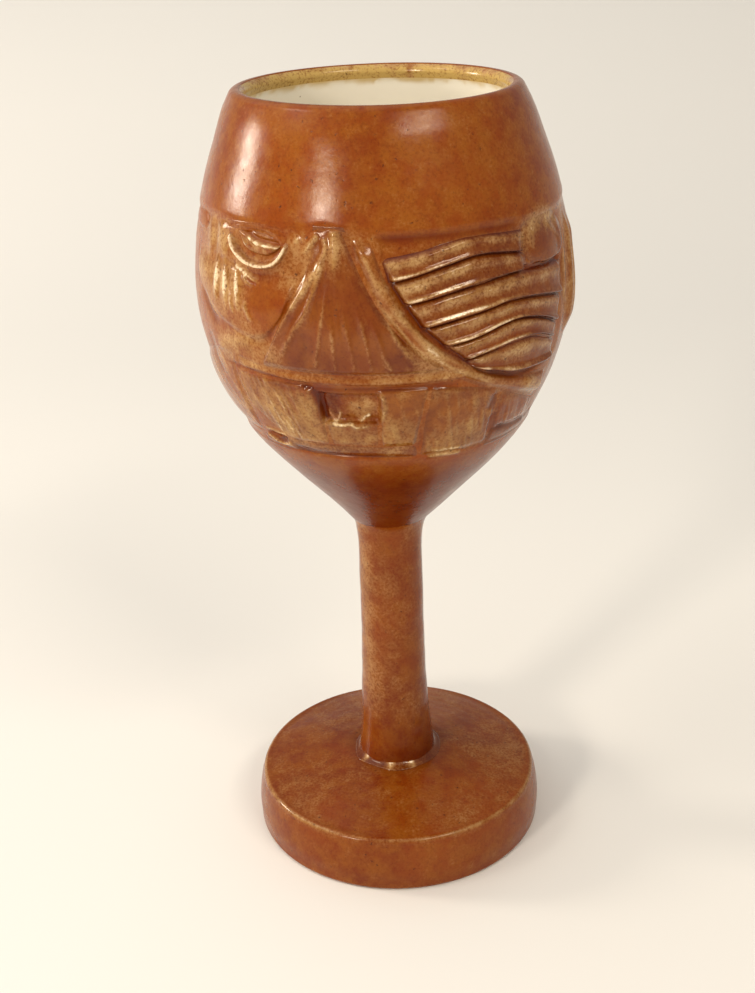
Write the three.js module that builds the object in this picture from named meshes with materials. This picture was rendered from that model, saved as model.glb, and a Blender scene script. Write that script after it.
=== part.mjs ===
// Stoneware tiki goblet. A thick turned foot carries a solid stem and a thrown bowl, and
// two faces, one on each side, are built up of clay pieces in a band cut back into the
// bowl's wall.
//
// Millimetres, +Z up, the origin under the middle of the foot. An angle round the goblet
// is in degrees from the middle of the front face, which looks along -Y, and grows
// towards +X. A point on a face is [angle, height].
import * as THREE from 'three';

// Foot
const FOOT_HEIGHT = 18.2;         // in the middle, where the stem stands
const FOOT_SEAT_RADIUS = 13.2;    // the level middle of its top
const FOOT_RIM_HEIGHT = 14.6;     // the top slopes down to its rim
const FOOT_RIM_RADIUS = 36.1;
const FOOT_RIM_EDGE = 1.5;        // rounding of the top edge
const FOOT_RADIUS = 37.45;        // at the fullest part of its side
const FOOT_FULLEST = 5;           // height of that part
const FOOT_BASE_RADIUS = 37.1;    // just above the bottom edge
const FOOT_BASE_EDGE = 1.3;       // rounding of the bottom edge
const RECESS_RADIUS = 27;         // the turned hollow inside the foot ring
const RECESS_DEPTH = 2.5;

// Stem: its radius at a height
const STEM_OUTSIDE = [
  [19, 9.8], [26, 9.05], [34, 8.6], [45, 8.2], [60, 8], [72, 7.9], [80, 7.95], [84, 8.4], [86, 8.95],
];
const STEM_TOP = 86;
const SLIP_THICKNESS = 0.9;       // the clay slip that lutes the stem to foot and bowl
const COIL_HEIGHT = 2.8;          // the coil worked into the corner at the stem's foot
const COIL_REACH = 1.8;

// Bowl: radius of the plain outside at a height, from the stem joint to the lip
const BOWL_OUTSIDE = [
  [88, 10.4], [93, 14.9], [98, 19.6], [103, 24.3], [108.5, 29.1], [114, 33.2], [121.5, 37.2],
  [131, 40.9], [143, 43], [156, 42.3], [167, 40.2], [178.5, 36.6], [185.2, 34.2],
  [188.3, 32.7],
];
const LIP_HEIGHT = 190;
const LIP_RADIUS = 30.5;          // the crest that a drinker's mouth meets
const LIP_ROUNDING = 1.95;
const WALL = 3.6;                 // clay, measured square to the outside
const FLOOR_HEIGHT = 96;          // the inside at the middle
const FLOOR_SPRING = 104;         // where the rounded floor meets the wall
const LINING = 0.5;               // the white glaze inside
const LINING_TOP = 186.6;
const INSIDE_HEIGHTS = [104, 113, 124, 137, 150, 163, 175];  // rings of the inside
const SHOULDER_HEIGHTS = [187.2, 180.1, 173];                // of the plain wall over the brow
const LOWER_HEIGHTS = [109.5, 104, 98.5, 93, 89.1];          // and of the one under the face

// Face band
const BAND_LOW = 115.2;
const BROW_MIDDLE = 166.5;        // mean height of the ledge over the band
const BROW_TILT = 1.6;            // the ledge stands this much higher over the left eye
const BAND_DEPTH = 1.3;           // how far the wall is cut back
const BED = 0.4;                  // slip-filled room between the cut wall and a clay piece
const BAND_TOP = 157;             // the highest of the band's own rings
const LEDGE = 0.6;                // height of the cut's sloping edges
const BROW_ROUNDING = 2.4;        // height over which the wall rounds into the ledge
const BORDER = 0.35;              // how far a clay piece's border lies under the plain wall

const GAP = 0.3;                  // room between neighbouring pieces
const SEAM = 0.25;                // half the groove between two laps of the cheek

// Facets round each body
const BOWL_FACETS = 48;
const LINING_FACETS = 32;
const FOOT_FACETS = 48;
const STEM_FACETS = 24;

const radians = THREE.MathUtils.degToRad;

// A clay or glaze finish
function finish(colour, roughness) {
  return new THREE.MeshStandardMaterial({ color: colour, roughness, metalness: 0 });
}
const brownGlaze = finish('#8f4414', 0.38);
const redBrownGlaze = finish('#873a0d', 0.38);
const tanGlaze = finish('#ac8046', 0.42);
const toothGlaze = finish('#8c5830', 0.42);
const whiteGlaze = finish('#cdb78f', 0.25);
const slipClay = finish('#824820', 0.5);

const goblet = new THREE.Group();
goblet.name = 'tiki_goblet';

function addPiece(name, geometry, material, parent = goblet) {
  geometry.computeVertexNormals();
  const mesh = new THREE.Mesh(geometry, material);
  mesh.name = name;
  parent.add(mesh);
}

// A value read off a smooth curve through rising [place, value] stations
function along(stations, place) {
  const last = stations.length - 1;
  let i = 0;
  while (i < last - 1 && stations[i + 1][0] < place) i += 1;
  const slope = (k) => {
    const a = stations[Math.max(k - 1, 0)];
    const b = stations[Math.min(k + 1, last)];
    return (b[1] - a[1]) / (b[0] - a[0]);
  };
  const [x0, y0] = stations[i];
  const [x1, y1] = stations[i + 1];
  const width = x1 - x0;
  const t = (place - x0) / width;
  const s = 1 - t;
  return y0 * s * s * (1 + 2 * t) + y1 * t * t * (1 + 2 * s)
    + width * t * s * (slope(i) * s - slope(i + 1) * t);
}

const outsideRadius = (height) => along(BOWL_OUTSIDE, height);

// The clay's inside: the outside brought in by the wall's thickness, over a rounded floor
function insideRadius(height, inset = 0) {
  const h = Math.max(height, FLOOR_SPRING);
  const slope = (outsideRadius(h + 0.5) - outsideRadius(h - 0.5));
  const wallRadius = outsideRadius(h) - (WALL + inset) * Math.hypot(1, slope);
  if (height >= FLOOR_SPRING) return wallRadius;
  const depth = (FLOOR_SPRING - height) / (FLOOR_SPRING - FLOOR_HEIGHT - inset);
  return wallRadius * Math.sqrt(Math.max(1 - depth * depth, 0));
}

const browHeight = (angle) => BROW_MIDDLE - BROW_TILT * Math.sin(2 * radians(angle));

// Points on an arc in the (radius, height) plane, from one angle to another
function arc(centreRadius, centreHeight, radius, from, to, steps) {
  return Array.from({ length: steps + 1 }, (_, i) => {
    const angle = radians(from + ((to - from) * i) / steps);
    return [centreRadius + radius * Math.cos(angle), centreHeight + radius * Math.sin(angle)];
  });
}

// A turned body from its [radius, height] profile, which starts and ends on the axis or
// closes on itself
function turned(profile, facets) {
  const points = profile.map(([radius, height]) => new THREE.Vector2(radius, height));
  const geometry = new THREE.LatheGeometry(points, facets);
  geometry.rotateX(Math.PI / 2);
  return geometry;
}

// A geometry from shared vertices and triangles, turned so that its faces point out
function solid(vertices, triangles) {
  const corner = (i) => vertices[i];
  const volume = triangles.reduce((sum, [a, b, c]) => {
    const [p, q, r] = [corner(a), corner(b), corner(c)];
    return sum + p.clone().cross(q).dot(r);
  }, 0);
  const index = triangles.flatMap(([a, b, c]) => (volume > 0 ? [a, b, c] : [a, c, b]));
  const geometry = new THREE.BufferGeometry();
  geometry.setAttribute('position', new THREE.Float32BufferAttribute(
    vertices.flatMap((v) => [v.x, v.y, v.z]), 3));
  geometry.setIndex(index);
  return geometry;
}

function around(angle, radius, height) {
  const a = radians(angle);
  return new THREE.Vector3(radius * Math.sin(a), -radius * Math.cos(a), height);
}

// A vessel from rows of [radius, height] that may change round the pot. The first and
// last rows are single points on the axis.
function thrown(rows, facets) {
  const vertices = [around(0, 0, rows[0](0)[1])];
  const rings = rows.slice(1, -1);
  rings.forEach((row) => {
    for (let i = 0; i < facets; i += 1) {
      const angle = (360 * i) / facets;
      vertices.push(around(angle, ...row(angle)));
    }
  });
  vertices.push(around(0, 0, rows.at(-1)(0)[1]));
  const end = vertices.length - 1;
  const at = (ring, i) => 1 + ring * facets + (i % facets);
  const triangles = [];
  for (let i = 0; i < facets; i += 1) {
    triangles.push([0, at(0, i), at(0, i + 1)]);
    for (let ring = 0; ring + 1 < rings.length; ring += 1) {
      triangles.push([at(ring, i), at(ring + 1, i), at(ring + 1, i + 1)]);
      triangles.push([at(ring, i), at(ring + 1, i + 1), at(ring, i + 1)]);
    }
    triangles.push([at(rings.length - 1, i), end, at(rings.length - 1, i + 1)]);
  }
  return solid(vertices, triangles);
}

// Foot: a thick disc, fullest low down and rising to a level seat in the middle, hollowed
// underneath to leave a ring to stand on
function makeFoot() {
  const base = FOOT_BASE_RADIUS - FOOT_BASE_EDGE;
  const rim = FOOT_RIM_RADIUS - FOOT_RIM_EDGE;
  const profile = [
    [0, RECESS_DEPTH],
    [RECESS_RADIUS - RECESS_DEPTH, RECESS_DEPTH],
    [RECESS_RADIUS, 0],
    ...arc(base, FOOT_BASE_EDGE, FOOT_BASE_EDGE, -90, 0, 3),
    [FOOT_RADIUS, FOOT_FULLEST],
    ...arc(rim, FOOT_RIM_HEIGHT - FOOT_RIM_EDGE, FOOT_RIM_EDGE, 0, 90, 3),
    [FOOT_SEAT_RADIUS, FOOT_HEIGHT],
    [0, FOOT_HEIGHT],
  ];
  addPiece('foot', turned(profile, FOOT_FACETS), brownGlaze);
}

// Stem: a solid column, fullest at its foot and flaring a little into the bowl
const stemBase = FOOT_HEIGHT + GAP + SLIP_THICKNESS + GAP;
const stemFootRadius = along(STEM_OUTSIDE, stemBase);
const stemTopRadius = along(STEM_OUTSIDE, STEM_TOP);

function makeStem() {
  const heights = [stemBase, ...STEM_OUTSIDE.slice(1).map(([height]) => height)];
  const column = heights.map((height) => [along(STEM_OUTSIDE, height), height]);
  addPiece('stem', turned([[0, stemBase], ...column, [0, STEM_TOP]], STEM_FACETS), brownGlaze);
}

// The slip between two bodies, squeezed out to a soft edge
function makeSlip(name, base, radius) {
  const half = SLIP_THICKNESS / 2;
  const profile = [
    [0, base],
    ...arc(radius - half, base + half, half, -90, 90, 2),
    [0, base + SLIP_THICKNESS],
  ];
  addPiece(name, turned(profile, STEM_FACETS), slipClay);
}

// The coil that is pressed into the corner between stem and foot: a hollow fillet
function makeFootCoil() {
  const base = FOOT_HEIGHT + GAP;
  const inner = stemFootRadius + GAP + 0.1;
  const toe = 0.5;
  const fillet = arc(inner + COIL_REACH, base + COIL_HEIGHT, 1, 180, 270, 4).map(
    ([radius, height]) => [
      inner + toe + (radius - inner - COIL_REACH + 1) * (COIL_REACH - toe),
      base + toe + (height - base - COIL_HEIGHT + 1) * (COIL_HEIGHT - toe),
    ]);
  const profile = [
    [inner, base],
    [inner + COIL_REACH, base],
    ...fillet.reverse(),
    [inner, base + COIL_HEIGHT],
    [inner, base],
  ];
  addPiece('stem_foot_coil', turned(profile, STEM_FACETS), redBrownGlaze);
}

// Bowl wall: one thrown shell, open at the lip, with the face band cut back all round
const bowlBase = STEM_TOP + GAP + SLIP_THICKNESS + GAP;

function makeBowlWall() {
  const fixed = (radius, height) => () => [radius, height];
  const plain = (height) => fixed(outsideRadius(height), height);

  const floorRows = [0.03, 0.25, 0.6].map((share) => {
    const height = FLOOR_HEIGHT + share * (FLOOR_SPRING - FLOOR_HEIGHT);
    return fixed(insideRadius(height), height);
  });
  const insideRows = [...INSIDE_HEIGHTS, LINING_TOP].map(
    (height) => fixed(insideRadius(height), height));
  const lipRows = arc(LIP_RADIUS, LIP_HEIGHT - LIP_ROUNDING, LIP_ROUNDING, 180, 30, 5).map(
    ([radius, height]) => fixed(radius, height));
  const upperRows = SHOULDER_HEIGHTS.map(plain);
  const browRows = [
    [LEDGE + BROW_ROUNDING, 0], [LEDGE, 0.1], [0, BAND_DEPTH],
  ].map(([rise, depth]) => (angle) => {
    const height = browHeight(angle) + rise;
    return [outsideRadius(height) - depth, height];
  });
  const bandRows = evenly(5).map((share) => {
    const height = BAND_TOP + share * (BAND_LOW + LEDGE - BAND_TOP);
    return fixed(outsideRadius(height) - BAND_DEPTH, height);
  });
  const lowerRows = [BAND_LOW, ...LOWER_HEIGHTS, bowlBase].map(plain);

  const rows = [
    fixed(0, FLOOR_HEIGHT), ...floorRows, ...insideRows, ...lipRows, ...upperRows,
    ...browRows, ...bandRows, ...lowerRows, fixed(0, bowlBase),
  ];
  addPiece('bowl_wall', thrown(rows, BOWL_FACETS), brownGlaze);
}

// Lining: the skin of white glaze inside the bowl
function makeLining() {
  const heights = [...INSIDE_HEIGHTS, LINING_TOP];
  const shell = (inset) => [
    ...[0.04, 0.3, 0.65].map((share) => {
      const floor = FLOOR_HEIGHT + inset;
      const height = floor + share * (FLOOR_SPRING - floor);
      return [insideRadius(height, inset), height];
    }),
    ...heights.map((height) => [insideRadius(height, inset), height]),
  ];
  const outer = shell(GAP);
  const inner = shell(GAP + LINING);
  const profile = [
    [0, FLOOR_HEIGHT + GAP], ...outer, ...inner.reverse(),
    [0, FLOOR_HEIGHT + GAP + LINING],
  ];
  addPiece('lining_glaze', turned(profile, LINING_FACETS), whiteGlaze);
}

// A clay piece of the face. It lies between two lines on the bowl, each a smooth curve
// through its [angle, height] points. Its back follows the cut wall, and its front stands
// lift(t, v) over the plain wall, at the shares t along the lines and v across them. Its
// border is pressed down all round.
function facePiece({ name, first, last, alongShares, acrossShares, lift, material }) {
  const curve = (points) => new THREE.SplineCurve(points.map((p) => new THREE.Vector2(...p)));
  const [a, b] = [curve(first), curve(last)];
  const across = acrossShares.length;
  const front = [];
  const back = [];
  alongShares.forEach((t, i) => {
    acrossShares.forEach((v, j) => {
      const place = a.getPoint(t).lerp(b.getPoint(t), v);
      const onBorder = i === 0 || j === 0 || i === alongShares.length - 1 || j === across - 1;
      const rise = onBorder ? -BORDER : lift(t, v);
      const radius = outsideRadius(place.y);
      front.push(around(place.x, radius + rise, place.y));
      back.push(around(place.x, radius - BAND_DEPTH + BED, place.y));
    });
  });
  const half = front.length;
  const triangles = [];
  const quad = (p, q, r, s) => triangles.push([p, q, r], [p, r, s]);
  const at = (i, j) => i * across + j;
  const ends = alongShares.length - 1;
  for (let i = 0; i < ends; i += 1) {
    for (let j = 0; j + 1 < across; j += 1) {
      quad(at(i, j), at(i, j + 1), at(i + 1, j + 1), at(i + 1, j));
      quad(half + at(i, j), half + at(i + 1, j), half + at(i + 1, j + 1), half + at(i, j + 1));
    }
    const rim = across - 1;
    quad(at(i, 0), at(i + 1, 0), half + at(i + 1, 0), half + at(i, 0));
    quad(at(i + 1, rim), at(i, rim), half + at(i, rim), half + at(i + 1, rim));
  }
  for (let j = 0; j + 1 < across; j += 1) {
    quad(at(0, j + 1), at(0, j), half + at(0, j), half + at(0, j + 1));
    quad(at(ends, j), at(ends, j + 1), half + at(ends, j + 1), half + at(ends, j));
  }
  return { name, geometry: solid([...front, ...back], triangles), material };
}

const evenly = (steps) => Array.from({ length: steps + 1 }, (_, i) => i / steps);
const lifted = (points, rise) => points.map(([angle, height]) => [angle, height + rise]);

// A rounded mound, highest at the share `peak` across
const mound = (height, peak = 0.5) => (t, v) => {
  const across = v < peak ? v / peak : (1 - v) / (1 - peak);
  return height * Math.sqrt(Math.max(across * (2 - across), 0)) - 0.1;
};

// Nose: a fan of thin ridges spreading from the brow, with two border ridges
function noseFan() {
  const ridges = 9;
  const acrossShares = [0.03, 0.97].concat(evenly(2 * (ridges - 1))).sort((p, q) => p - q);
  return facePiece({
    name: 'nose_fan',
    first: [[-18, 165.9], [-20.5, 158], [-26, 151], [-32, 144], [-38.5, 137.8]],
    last: [[-12, 165.6], [-6, 160.6], [1, 151.5], [9, 144], [21.5, 137.8]],
    alongShares: [0, 0.04, 0.25, 0.5, 0.75, 0.96, 1],
    acrossShares,
    lift: (t, v) => {
      const flute = 0.5 + 0.5 * Math.cos(2 * Math.PI * v * (ridges - 1));
      return 0.25 + 0.2 * t + 0.45 * t * flute;
    },
    material: redBrownGlaze,
  });
}

// Fold: the band that runs from the brow round the nose and ends in a lump by the mouth
function cheekFold() {
  return facePiece({
    name: 'cheek_fold',
    first: [[-10.4, 165.6], [-6, 161.7], [-1.8, 156.6], [2.8, 151.3], [7.6, 146.6],
      [13, 142.9], [24, 138], [36, 132.4], [47, 127.8], [58, 124.5]],
    last: [[-2.6, 164.6], [-0.8, 160.4], [3.6, 155], [8.4, 149.6], [13, 144.8],
      [18.2, 140.9], [27.6, 137.2], [38, 132.9], [48, 132.6], [60, 131.8]],
    alongShares: [0, 0.03, 0.15, 0.3, 0.45, 0.6, 0.7, 0.78, 0.86, 0.93, 0.98, 1],
    acrossShares: [0, 0.1, 0.45, 0.9, 1],
    lift: (t, v) => mound(0.55 + 0.35 * t, 0.45)(t, v),
    material: tanGlaze,
  });
}

// Cheek: six strips, each lapping over the next one down like a shingle. A groove line
// runs between each two.
const CHEEK_GROOVES = [
  [[0.8, 162.9], [12, 164.2], [28, 163.8], [45, 163.7]],
  [[4.2, 158.2], [17, 160.6], [30, 161.2], [43.8, 160.5]],
  [[7.4, 153.4], [20, 154.8], [33, 156.1], [46, 156.1]],
  [[13, 149], [27, 150.5], [42, 151], [56, 149.4], [67, 147.5]],
  [[20.4, 144.5], [31, 146], [43, 146.6], [55, 144.8], [64.3, 141.8]],
  [[30, 139.9], [37, 141.1], [46, 141.7], [54, 140.7], [61.8, 137.9]],
  [[30.8, 138.1], [37, 135.4], [46, 134.6], [55, 134.4], [62.4, 135.4]],
];
const THIRD_LAP_TOP = [[7.4, 153.4], [22, 155.1], [38, 156.3], [54, 155.3], [68, 155.2]];

function cheekLaps() {
  return evenly(5).map((_, i) => facePiece({
    name: `cheek_lap_${i + 1}`,
    first: lifted(i === 2 ? THIRD_LAP_TOP : CHEEK_GROOVES[i], -SEAM),
    last: lifted(CHEEK_GROOVES[i + 1], SEAM),
    alongShares: [0, 0.04, 0.2, 0.4, 0.6, 0.8, 0.96, 1],
    acrossShares: [0, 0.12, 0.5, 0.82, 1],
    lift: (t, v) => 0.75 * v ** 0.8 - 0.1,
    material: redBrownGlaze,
  }));
}

// Left cheek: a soft pad under the eye, with upright tear ridges on its outer half
function cheekPad() {
  const ridges = 4;
  const ridgedShare = 0.72;
  const outer = evenly(2 * ridges).map((share) => 0.06 + share * (ridgedShare - 0.06));
  return facePiece({
    name: 'cheek_pad',
    first: [[-75, 160.2], [-65, 160.5], [-54, 159.2], [-45, 157.4], [-38, 156.9],
      [-30, 157.4], [-22.6, 157.8]],
    last: [[-69.5, 151.5], [-62, 147.6], [-54, 145.6], [-46, 144.5], [-39, 144.4],
      [-34, 145.8], [-29.4, 149]],
    alongShares: [0, 0.03, ...outer, 0.86, 0.97, 1],
    acrossShares: [0, 0.1, 0.4, 0.75, 0.93, 1],
    lift: (t, v) => {
      const ridged = t < ridgedShare ? 1 : 0;
      const ridge = 0.5 - 0.5 * Math.cos((2 * Math.PI * ridges * (t - 0.06)) / (ridgedShare - 0.06));
      return mound(0.45)(t, v) + 0.3 * ridge * ridged * (1 - v);
    },
    material: brownGlaze,
  });
}

// Left eye: a half-moon rim round the socket, the slit eyeball in it and the lid over it
function leftEye() {
  const rim = facePiece({
    name: 'eye_rim',
    first: [[-52, 165.3], [-49.5, 161.6], [-44, 159], [-38, 158.3], [-31.5, 159.6],
      [-28, 162.6], [-28.3, 165.3]],
    last: [[-49.6, 165.3], [-47.6, 162.8], [-43.2, 160.9], [-38, 160.3], [-33, 161.2],
      [-30.4, 163.4], [-30.6, 165.3]],
    alongShares: [0, 0.04, 0.18, 0.34, 0.5, 0.66, 0.82, 0.96, 1],
    acrossShares: [0, 0.35, 0.7, 1],
    lift: () => 0.5,
    material: tanGlaze,
  });
  const ball = facePiece({
    name: 'eyeball',
    first: [[-48.2, 164.5], [-46, 162.9], [-42.6, 161.6], [-38, 161.1], [-33.6, 161.9],
      [-31.6, 163.6]],
    last: [[-47.6, 165.3], [-43.6, 165.4], [-40, 165.4], [-37, 165.3], [-34, 165.2],
      [-31.8, 164.8]],
    alongShares: [0, 0.08, 0.3, 0.5, 0.7, 0.92, 1],
    acrossShares: [0, 0.3, 0.6, 1],
    lift: mound(0.5, 0.4),
    material: tanGlaze,
  });
  const lid = facePiece({
    name: 'eyelid',
    first: [[-54, 166], [-40, 166], [-27, 165.9]],
    last: [[-54, 167], [-40, 167.1], [-27, 166.9]],
    alongShares: [0, 0.05, 0.35, 0.65, 0.95, 1],
    acrossShares: [0, 0.5, 1],
    lift: () => 0,
    material: brownGlaze,
  });
  return [rim, ball, lid];
}

// Ears: a flat lobe at the left edge of the face, and a full drop over the cheek's laps
function ears() {
  const left = facePiece({
    name: 'ear_left',
    first: [[-81, 165.6], [-83.5, 163.7], [-81, 161.8]],
    last: [[-69, 166.2], [-65.5, 163.9], [-69, 161.8]],
    alongShares: [0, 0.2, 0.5, 0.8, 1],
    acrossShares: [0, 0.2, 0.5, 0.8, 1],
    lift: mound(0.6),
    material: brownGlaze,
  });
  const right = facePiece({
    name: 'ear_right',
    first: [[52, 163.8], [47.8, 161.2], [47.2, 158.4], [51, 156.4]],
    last: [[61, 163.9], [66.4, 161.4], [68, 158.6], [64, 156.4]],
    alongShares: [0, 0.15, 0.45, 0.75, 0.93, 1],
    acrossShares: [0, 0.15, 0.5, 0.85, 1],
    lift: mound(1),
    material: redBrownGlaze,
  });
  return [left, right];
}

// Mouth: the lips, four big teeth and the stump of a missing one
function mouth() {
  const strip = (name, first, last, rise, material, steps) => facePiece({
    name,
    first,
    last,
    alongShares: [0, 0.02, ...evenly(steps).map((share) => 0.06 + 0.88 * share), 0.98, 1],
    acrossShares: [0, 0.5, 1],
    lift: () => rise,
    material,
  });
  const tooth = (name, first, last, rise, middle) => facePiece({
    name,
    first,
    last,
    alongShares: [0, 0.08, 0.5, 0.92, 1],
    acrossShares: [0, 0.06, ...middle, 0.94, 1],
    lift: (t) => rise + 0.25 * t,
    material: toothGlaze,
  });
  return [
    strip('upper_lip', [[-49, 138], [-30, 136.8], [0, 136.7], [21.5, 136.9]],
      [[-49, 135.4], [-30, 134.9], [0, 135], [25.4, 135.3]], 0.45, brownGlaze, 7),
    tooth('tooth_1', [[-50, 134.4], [-50, 127], [-37, 120]],
      [[-22, 134.2], [-21.6, 127], [-21, 119.6]], 0.25, [0.35, 0.65]),
    tooth('tooth_stump', [[-19.6, 124.8], [-19.4, 122.5], [-19.2, 119.6]],
      [[-3.8, 124.8], [-3.8, 122.5], [-3.8, 119.6]], 0.1, [0.5]),
    tooth('tooth_2', [[-2.6, 134.2], [-2.4, 127], [-2.4, 119.6]],
      [[11.6, 134.2], [10.2, 127], [8.6, 119.6]], 0.2, [0.5]),
    tooth('tooth_3', [[13.4, 134.2], [12, 127], [12, 116.6]],
      [[35.2, 131.2], [36.6, 124], [37, 116.6]], 0.3, [0.33, 0.67]),
    tooth('tooth_4', [[39.4, 129.4], [39.2, 124], [40, 120]],
      [[57, 123], [57, 121.6], [57, 119.8]], 0.1, [0.5]),
    strip('lower_lip', [[-53, 117.3], [-46, 117.1], [-36, 118.7], [-14, 118.8], [9.6, 118.6]],
      [[-53, 116.2], [-46, 116.2], [-36, 116.2], [-14, 116.2], [10.4, 116.2]],
      0.35, redBrownGlaze, 6),
    strip('lip_corner', [[38.8, 119.2], [50, 118.9], [62, 118]],
      [[38.8, 116.3], [50, 116.3], [62, 116.3]], 0.2, redBrownGlaze, 3),
  ];
}

// Sides of the face: the swelling jaw at the left and three strands of hair at the right
function faceSides() {
  const jaw = facePiece({
    name: 'jaw',
    first: [[-82, 131], [-70, 135.5], [-60, 137.4], [-51.6, 137]],
    last: [[-82, 121.6], [-70, 120], [-60, 118.9], [-51.6, 118.6]],
    alongShares: [0, 0.04, 0.35, 0.65, 0.96, 1],
    acrossShares: [0, 0.06, 0.4, 0.75, 0.94, 1],
    lift: (t, v) => mound(0.75 - 0.35 * t, 0.7)(t, v),
    material: tanGlaze,
  });
  const strands = 3;
  const hair = facePiece({
    name: 'hair_strands',
    first: [[71.4, 163], [70.8, 156], [70.4, 148], [67.6, 142], [65.4, 135.5]],
    last: [[86, 163], [85.5, 155], [84, 147], [81, 140.5], [77, 134.2]],
    alongShares: [0, 0.03, 0.27, 0.5, 0.73, 0.97, 1],
    acrossShares: [0, ...evenly(2 * strands - 2).map((share) => 0.08 + 0.84 * share), 1],
    lift: (t, v) => {
      const strand = 0.5 + 0.5 * Math.cos((2 * Math.PI * (strands - 1) * (v - 0.08)) / 0.84);
      return 0.1 + 0.45 * strand;
    },
    material: brownGlaze,
  });
  return [jaw, hair];
}

makeFoot();
makeStem();
makeSlip('stem_foot_slip', FOOT_HEIGHT + GAP, stemFootRadius);
makeSlip('stem_top_slip', STEM_TOP + GAP, stemTopRadius + 0.4);
makeFootCoil();
makeBowlWall();
makeLining();

// The back face is the front one turned half a circle round the goblet
const sides = [['front', 0], ['back', Math.PI]];
sides.forEach(([side, turn]) => {
  const face = new THREE.Group();
  face.rotation.z = turn;
  goblet.add(face);
  const pieces = [
    noseFan(), cheekFold(), ...cheekLaps(), cheekPad(), ...leftEye(), ...ears(), ...mouth(),
    ...faceSides(),
  ];
  pieces.forEach(({ name, geometry, material }) => {
    addPiece(`${side}_${name}`, geometry, material.clone(), face);
  });
});

export default goblet;
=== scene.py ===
"""Looks of a stoneware tiki goblet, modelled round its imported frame.

The goblet is turned and thrown stoneware: a thick foot, a solid stem and an egg-shaped
bowl, with two faces built up of clay pieces in a band cut back into the bowl's wall. A
satin iron-brown glaze covers the outside, breaking to tan over the carving, and a glossy
white one lines the bowl.

Sizes are in millimetres and become metres where a mesh is placed. An angle round the
goblet is in degrees from the middle of the front face, which looks along -Y, and grows
towards +X.
"""

import logging
import math
from dataclasses import dataclass
from enum import Enum
from functools import partial
from typing import Callable

import bpy
import numpy as np
from mathutils import Matrix, Vector


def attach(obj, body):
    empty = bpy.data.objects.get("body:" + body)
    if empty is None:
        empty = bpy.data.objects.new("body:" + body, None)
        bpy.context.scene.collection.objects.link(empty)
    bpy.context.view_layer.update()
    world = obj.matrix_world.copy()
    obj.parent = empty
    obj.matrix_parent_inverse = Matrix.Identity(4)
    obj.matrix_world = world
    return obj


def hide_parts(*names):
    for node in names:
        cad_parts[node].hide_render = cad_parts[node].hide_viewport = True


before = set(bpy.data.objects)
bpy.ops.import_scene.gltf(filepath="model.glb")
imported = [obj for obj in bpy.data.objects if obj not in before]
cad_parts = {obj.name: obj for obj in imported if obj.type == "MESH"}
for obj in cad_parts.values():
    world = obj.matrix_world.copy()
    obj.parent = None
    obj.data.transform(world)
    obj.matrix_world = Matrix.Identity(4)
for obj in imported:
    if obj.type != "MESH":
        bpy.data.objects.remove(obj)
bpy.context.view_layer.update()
LOG = logging.getLogger("tiki_goblet")

Array = np.ndarray
Line = tuple[tuple[float, float], ...]
Profile = list[tuple[float, float]]
MM = 0.001
GIRTH = 42.0  # mean radius of the face band, which turns angles into mm across it
GAUGE = np.array((math.radians(1) * GIRTH, 1.0))  # mm in a degree across it and in a mm up it


class Slot(Enum):
    """The record's material slots."""

    BROWN = "brown_glaze"
    RED_BROWN = "red_brown_glaze"
    TAN = "tan_glaze"
    TOOTH = "tooth_glaze"
    WHITE = "white_glaze"
    SLIP = "slip_clay"


class Side(Enum):
    """The goblet's two faces, and how far each is turned from the front."""

    FRONT = 0
    BACK = 180


# Shape helpers


def smooth(low: float, high: float, value: Array) -> Array:
    """Rise smoothly from 0 at `low` to 1 at `high`.

    Args:
        low: Where the rise starts.
        high: Where it ends; it may be less than `low`.
        value: Places to read.

    Returns:
        A share from 0 to 1 at each place.
    """
    share = np.clip((value - low) / (high - low), 0, 1)
    return share * share * (3 - 2 * share)


def bell(middle: float, width: float, value: Array) -> Array:
    """Give a rounded ridge, 1 at `middle` and near 0 one `width` away."""
    return np.exp(-(((value - middle) / (0.5 * width)) ** 2))


def clay_noise(across: Array, up: Array, grain: float, seed: int) -> Array:
    """Give smooth random heights with bumps about one grain apart.

    Args:
        across: Places across the surface, in mm.
        up: Places up the surface, in mm.
        grain: Distance between bumps, in mm.
        seed: Chooses the pattern.

    Returns:
        Heights from -1 to 1.
    """
    x, y = across / grain, up / grain
    cell_x, cell_y = np.floor(x), np.floor(y)
    share_x, share_y = smooth(0, 1, x - cell_x), smooth(0, 1, y - cell_y)

    def corner(step_x: int, step_y: int) -> Array:
        """Hash one corner of each place's cell to a height."""
        mixed = (cell_x + step_x) * 127.1 + (cell_y + step_y) * 311.7 + seed * 74.7
        value = np.sin(mixed) * 43758.5453
        return 2 * (value - np.floor(value)) - 1

    lower = corner(0, 0) * (1 - share_x) + corner(1, 0) * share_x
    upper = corner(0, 1) * (1 - share_x) + corner(1, 1) * share_x
    return lower * (1 - share_y) + upper * share_y


def read_curve(stations: Line, place: Array) -> Array:
    """Read a smooth curve through rising (place, value) stations.

    Args:
        stations: The points the curve passes through.
        place: Places to read; past the ends the curve runs on.

    Returns:
        The value at each place.
    """
    xs, ys = np.array(stations, float).T
    slope = np.gradient(ys, xs)
    slope[1:-1] = (ys[2:] - ys[:-2]) / (xs[2:] - xs[:-2])
    i = np.clip(np.searchsorted(xs, place) - 1, 0, len(xs) - 2)
    width = xs[i + 1] - xs[i]
    t = (place - xs[i]) / width
    s = 1 - t
    ends = ys[i] * s * s * (1 + 2 * t) + ys[i + 1] * t * t * (1 + 2 * s)
    return ends + width * t * s * (slope[i] * s - slope[i + 1] * t)


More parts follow.
